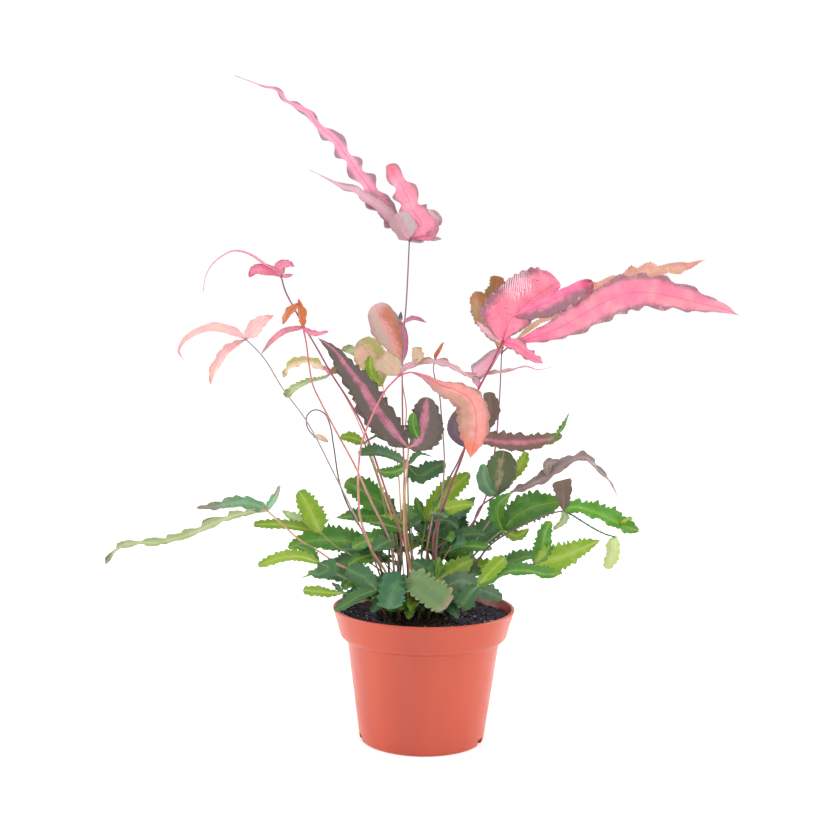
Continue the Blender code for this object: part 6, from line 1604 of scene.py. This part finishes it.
def leafFinish(name):
    look = {**plainLook, **looks[name]}
    finish, shader, tree = newFinish(name)
    across, share, along, reach = (stored(tree, label) for label in ("across", "share", "along", "reach"))
    wide = math(tree, "ABSOLUTE", across)
    # Patches of about 6 mm make the bands end unevenly, and finer ones break them up
    broad = mottle(tree, 7.0, 3.0, 0.6)
    small = mottle(tree, 1.5, 3.0, 0.6)
    shift = math(tree, "MULTIPLY", math(tree, "SUBTRACT", broad, 0.5), look["fray"] * 1.6)
    shift = math(tree, "ADD", shift, math(tree, "MULTIPLY", math(tree, "SUBTRACT", small, 0.5), look["fray"] * 0.8))
    band = math(tree, "ADD", stored(tree, "out"), shift)

    # Veins leave the rib at a slant and fork half way out
    distance = math(tree, "MULTIPLY", wide, reach)
    course = math(tree, "DIVIDE", math(tree, "MULTIPLY_ADD", distance, -0.75, along), look["veinPitch"])
    course = math(tree, "MULTIPLY_ADD", small, 0.5, course)
    forks = math(tree, "GREATER_THAN", wide, 0.45)
    course = math(tree, "MULTIPLY", course, math(tree, "ADD", forks, 1.0))
    ridge = math(tree, "ABSOLUTE", math(tree, "SUBTRACT", math(tree, "FRACT", course), 0.5))
    vein = ramped(tree, ridge, 0.02, 0.2, 1.0, 0.0)

    outward = ramped(tree, band, look["centreStart"], look["centreEnd"])
    colour = mixed(tree, outward, tint(*look["centre"]), tint(*look["blade"]))
    if look["patch"]:
        colour = mixed(tree, ramped(tree, mottle(tree, 11.0, 2.0), 0.48, 0.64), colour, tint(*look["patch"]))
    if look["half"]:
        turned = math(tree, "MULTIPLY_ADD", shift, 2.5, across)
        colour = mixed(tree, ramped(tree, turned, -0.05, 0.5), colour, tint(*look["half"]))
    reachTip = math(tree, "MULTIPLY_ADD", shift, 0.4, share)
    end = look["marginStart"] + look["marginSoft"]
    colour = mixed(tree, ramped(tree, band, look["marginStart"], end), colour, tint(*look["margin"]))
    if look["streak"]:
        lines = ramped(tree, math(tree, "SINE", math(tree, "MULTIPLY", course, 2.6)), -0.3, 0.7)
        inside = math(tree, "MULTIPLY", ramped(tree, reachTip, 0.42, 0.52), ramped(tree, reachTip, 0.7, 0.8, 1.0, 0.0))
        inside = math(tree, "MULTIPLY", inside, ramped(tree, across, -0.5, -0.2, 0.9, 0.0))
        colour = mixed(tree, math(tree, "MULTIPLY", lines, inside), colour, tint(*look["streak"]))
    if look["tip"]:
        colour = mixed(tree, ramped(tree, reachTip, look["tipStart"], 1.0), colour, tint(*look["tip"]))
    if look["foot"]:
        colour = mixed(tree, ramped(tree, reachTip, 0.0, look["footEnd"], 1.0, 0.0), colour, tint(*look["foot"]))
    nearRib = ramped(tree, distance, 0.2, 0.6, 0.6, 0.0)
    colour = mixed(tree, nearRib, colour, tint(*look["rib"]))
    strength = math(tree, "MULTIPLY", vein, look["veinStrength"])
    colour = mixed(tree, strength, colour, tint(*look["vein"]))
    speckle = ramped(tree, mottle(tree, 0.7, 2.0), 0.62, 0.7, 0.0, look["specks"] * 2)
    colour = mixed(tree, speckle, colour, tint(*look["speck"]))
    # Each leaflet is a little lighter or darker than the next
    pick = stored(tree, "pick")
    vary = tree.nodes.new("ShaderNodeHueSaturation")
    tree.links.new(ramped(tree, pick, 0.0, 1.0, 0.9, 1.1, smooth=False), vary.inputs["Value"])
    tree.links.new(ramped(tree, broad, 0.3, 0.7, 0.94, 1.08), vary.inputs["Saturation"])
    tree.links.new(colour, vary.inputs["Color"])
    colour = vary.outputs["Color"]
    under = look["under"] or [(above + beside) / 2 for above, beside in zip(look["centre"], look["blade"])]
    pale = mixed(tree, math(tree, "MULTIPLY", vein, look["veinStrength"] * 0.7), tint(*under), tint(*look["vein"]))
    below = ramped(tree, stored(tree, "up"), -0.12, 0.05, 0.75, 0.0)
    colour = mixed(tree, below, colour, pale)
    tree.links.new(colour, shader.inputs["Base Color"])
    tree.links.new(ramped(tree, small, 0.3, 0.7, look["roughness"] - 0.06, look["roughness"] + 0.1),
                   shader.inputs["Roughness"])
    shader.inputs["Specular IOR Level"].default_value = 0.4
    relief = math(tree, "ADD", math(tree, "MULTIPLY", vein, -0.6), math(tree, "MULTIPLY", small, 0.8))
    bumped(tree, shader, relief, 0.16, 0.8)
    through = tree.nodes.new("ShaderNodeBsdfTranslucent")
    tree.links.new(colour, through.inputs["Color"])
    blend = tree.nodes.new("ShaderNodeMixShader")
    blend.inputs["Fac"].default_value = look["glow"]
    tree.links.new(shader.outputs["BSDF"], blend.inputs[1])
    tree.links.new(through.outputs["BSDF"], blend.inputs[2])
    tree.links.new(blend.outputs["Shader"], tree.nodes["Material Output"].inputs["Surface"])
    return finish


def stemFinish():
    # Stalks and ribs take the colour that their mesh carries, streaked lengthwise
    finish, shader, tree = newFinish("stemSkin")
    shade = stored(tree, "tint", "Color")
    streak = mottle(tree, 1.6, 3.0, 0.6, stretch=(1.0, 1.0, 0.12))
    dull = tree.nodes.new("ShaderNodeHueSaturation")
    tree.links.new(ramped(tree, streak, 0.3, 0.7, 0.78, 1.15), dull.inputs["Value"])
    tree.links.new(shade, dull.inputs["Color"])
    tree.links.new(dull.outputs["Color"], shader.inputs["Base Color"])
    tree.links.new(ramped(tree, streak, 0.3, 0.7, 0.34, 0.5), shader.inputs["Roughness"])
    shader.inputs["Specular IOR Level"].default_value = 0.5
    bumped(tree, shader, streak, 0.08, 0.6)
    return finish


# Stalk colours from the foot up
stalkTints = {
    "crimson": [(96, 62, 56), (124, 60, 76), (172, 28, 80)],
    "dusk": [(146, 112, 100), (160, 78, 100), (116, 74, 94)],
    "rosy": [(140, 104, 84), (186, 132, 118), (182, 88, 104)],
    "archPink": [(150, 124, 78), (190, 130, 116), (192, 80, 116)],
    "darkMauve": [(166, 124, 98), (146, 108, 100), (108, 78, 88)],
    "dark": [(56, 48, 40), (84, 64, 60), (112, 84, 86)],
    "greyBrown": [(120, 104, 92), (150, 134, 126), (130, 120, 120)],
    "greyTan": [(142, 106, 86), (146, 112, 104), (104, 96, 98)],
    "tan": [(150, 106, 70), (190, 142, 108), (184, 134, 112)],
    "beige": [(170, 124, 80), (204, 160, 122), (196, 146, 122)],
    "green": [(82, 74, 46), (110, 116, 62), (124, 140, 70)],
}


def makeFronds():
    leafShape, leafIds = leafTree()
    tubeShape, tubeIds = tubeTree()
    stem = stemFinish()
    finishes = {name: leafFinish(name) for name in looks}
    leafInputs = {"Thickness": growth["thickness"], "Unevenness": growth["unevenness"],
                  "Seed": growth["seed"]}
    stemInputs = {"Groove": 0.15, "Points Round": growth["stalkPoints"], "Finish": stem}
    ribInputs = {"Groove": 0.0, "Points Round": 6, "Finish": stem}
    serial = 0

    def grown(name, fronds, around=growth["pointsRound"]):
        # The stalks of these fronds as one mesh, and their knobs, ribs and leaflets as another
        nonlocal serial
        stalks, ribs, strands = [], [], {}
        for frond in fronds:
            path = stalkPath(frond)
            length = measured(path)[-1]
            shades = stalkTints[frond.get("colour", "green")]
            stout = frond.get("stem", 0.7)
            stalks.append(tubeStrand(path, stalkRadius(length, stout), shadeAlong(shades), last=1.0 - 0.6 / length))
            node, course = atShare(path, measured(path), 1.0)
            knob = growth["knob"] * (0.35 + 0.65 * stout)
            knobPath = [node + course * knob * 1.3 * (i / 4 - 1) for i in range(9)]
            knobTint = shadeAlong(shades)(1.0)
            ribs.append(tubeStrand(knobPath, knobRadius(knob), lambda share: knobTint, step=0.3))
            for leaf in frond["leaves"]:
                serial += 1
                strands.setdefault(leaf["look"], []).append(leafStrand(frond, leaf, (serial * 0.618) % 1.0))
                shade = Vector(tint(*{**plainLook, **looks[leaf["look"]]}["rib"])[:3])
                ribs.append(ribStrand(frond, leaf, shade, knobTint))
        stalk = strandObject(name + "Stem", stalks, tubeShape, tubeIds, stemInputs)
        blades = [strandObject(name + "Ribs", ribs, tubeShape, tubeIds, ribInputs)]
        for look, group in strands.items():
            inputs = {**leafInputs, "Finish": finishes[look], "Points Round": around}
            blades.append(strandObject(name + look, group, leafShape, leafIds, inputs))
        return stalk, joinPieces(name + "Blades", blades)

    for name, frond in tallFronds.items():
        stalk, blade = grown(name, [frond])
        stalk.name = camel(name) + "Stalk"
        blade.name = camel(name) + "Blade"
        dress(stalk, slotOf(name + "_stalk"), name + "_stalk")
        dress(blade, slotOf(name + "_blade"), name + "_blade")
        print(name, "made")
    for name, frond in lowFronds.items():
        whole = joinPieces(camel(name) + "Frond", list(grown(name, [frond])))
        dress(whole, slotOf(name), name)
        print(name, "made")
    fillers = undergrowthFronds().values()
    whole = joinPieces("undergrowth", list(grown("undergrowth", fillers, undergrowth["pointsRound"])))
    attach(whole, "root")
    print("undergrowth made")


def stalkRadius(length, stout):
    def radiusAt(share):
        swell = 0.4 * max(0.0, 1 - share * length / 9)
        return (growth["stalkFoot"] + (growth["stalkTip"] - growth["stalkFoot"]) * share) * stout + swell * stout
    return radiusAt


def knobRadius(size):
    def radiusAt(share):
        return 0.05 + size * sin(pi * min(max(share, 0.02), 0.98)) ** 0.6
    return radiusAt


def shadeAlong(shades):
    # Three colours along a stalk, from its foot to its tip
    stops = [Vector(tint(*shade)[:3]) for shade in shades]

    def shadeAt(share):
        place = min(max(share, 0.0), 1.0) * 2
        low = min(int(place), 1)
        return stops[low].lerp(stops[low + 1], place - low)
    return shadeAt


def ribStrand(frond, leaf, shade, footShade):
    # The raised rib of a leaflet, thinner towards its tip, a little sunk into the blade
    path = leafPath(frond, leaf)
    scale = min(1.0, 0.45 + leaf["width"] / 30)
    radiusAt = lambda share: (growth["ribFoot"] + (growth["ribTip"] - growth["ribFoot"]) * share ** 0.7) * scale
    shadeAt = lambda share: footShade.lerp(shade, min(1.0, share * 8))
    strand = tubeStrand(path, radiusAt, shadeAt, step=0.9, last=0.97)
    for station in strand:
        along = station["sideDir"].cross(station["faceDir"])
        face = Vector(leaf["face"])
        face = (face - along * face.dot(along)).normalized()
        start, end = leaf["twist"]
        face = Matrix.Rotation(radians(start + (end - start) * station["share"]), 3, along) @ face
        station["faceDir"], station["sideDir"] = face, face.cross(along)
    return strand


def camel(name):
    first, *rest = name.split("_")
    return first + "".join(word.capitalize() for word in rest)


def slotOf(node):
    return next(part["material_slot"] for part in frame["record"]["subparts"] if part["node"] == node)


makeCamera()
makeStage()
makePot()
makeSoil()
makeRootstock()
makeFronds()
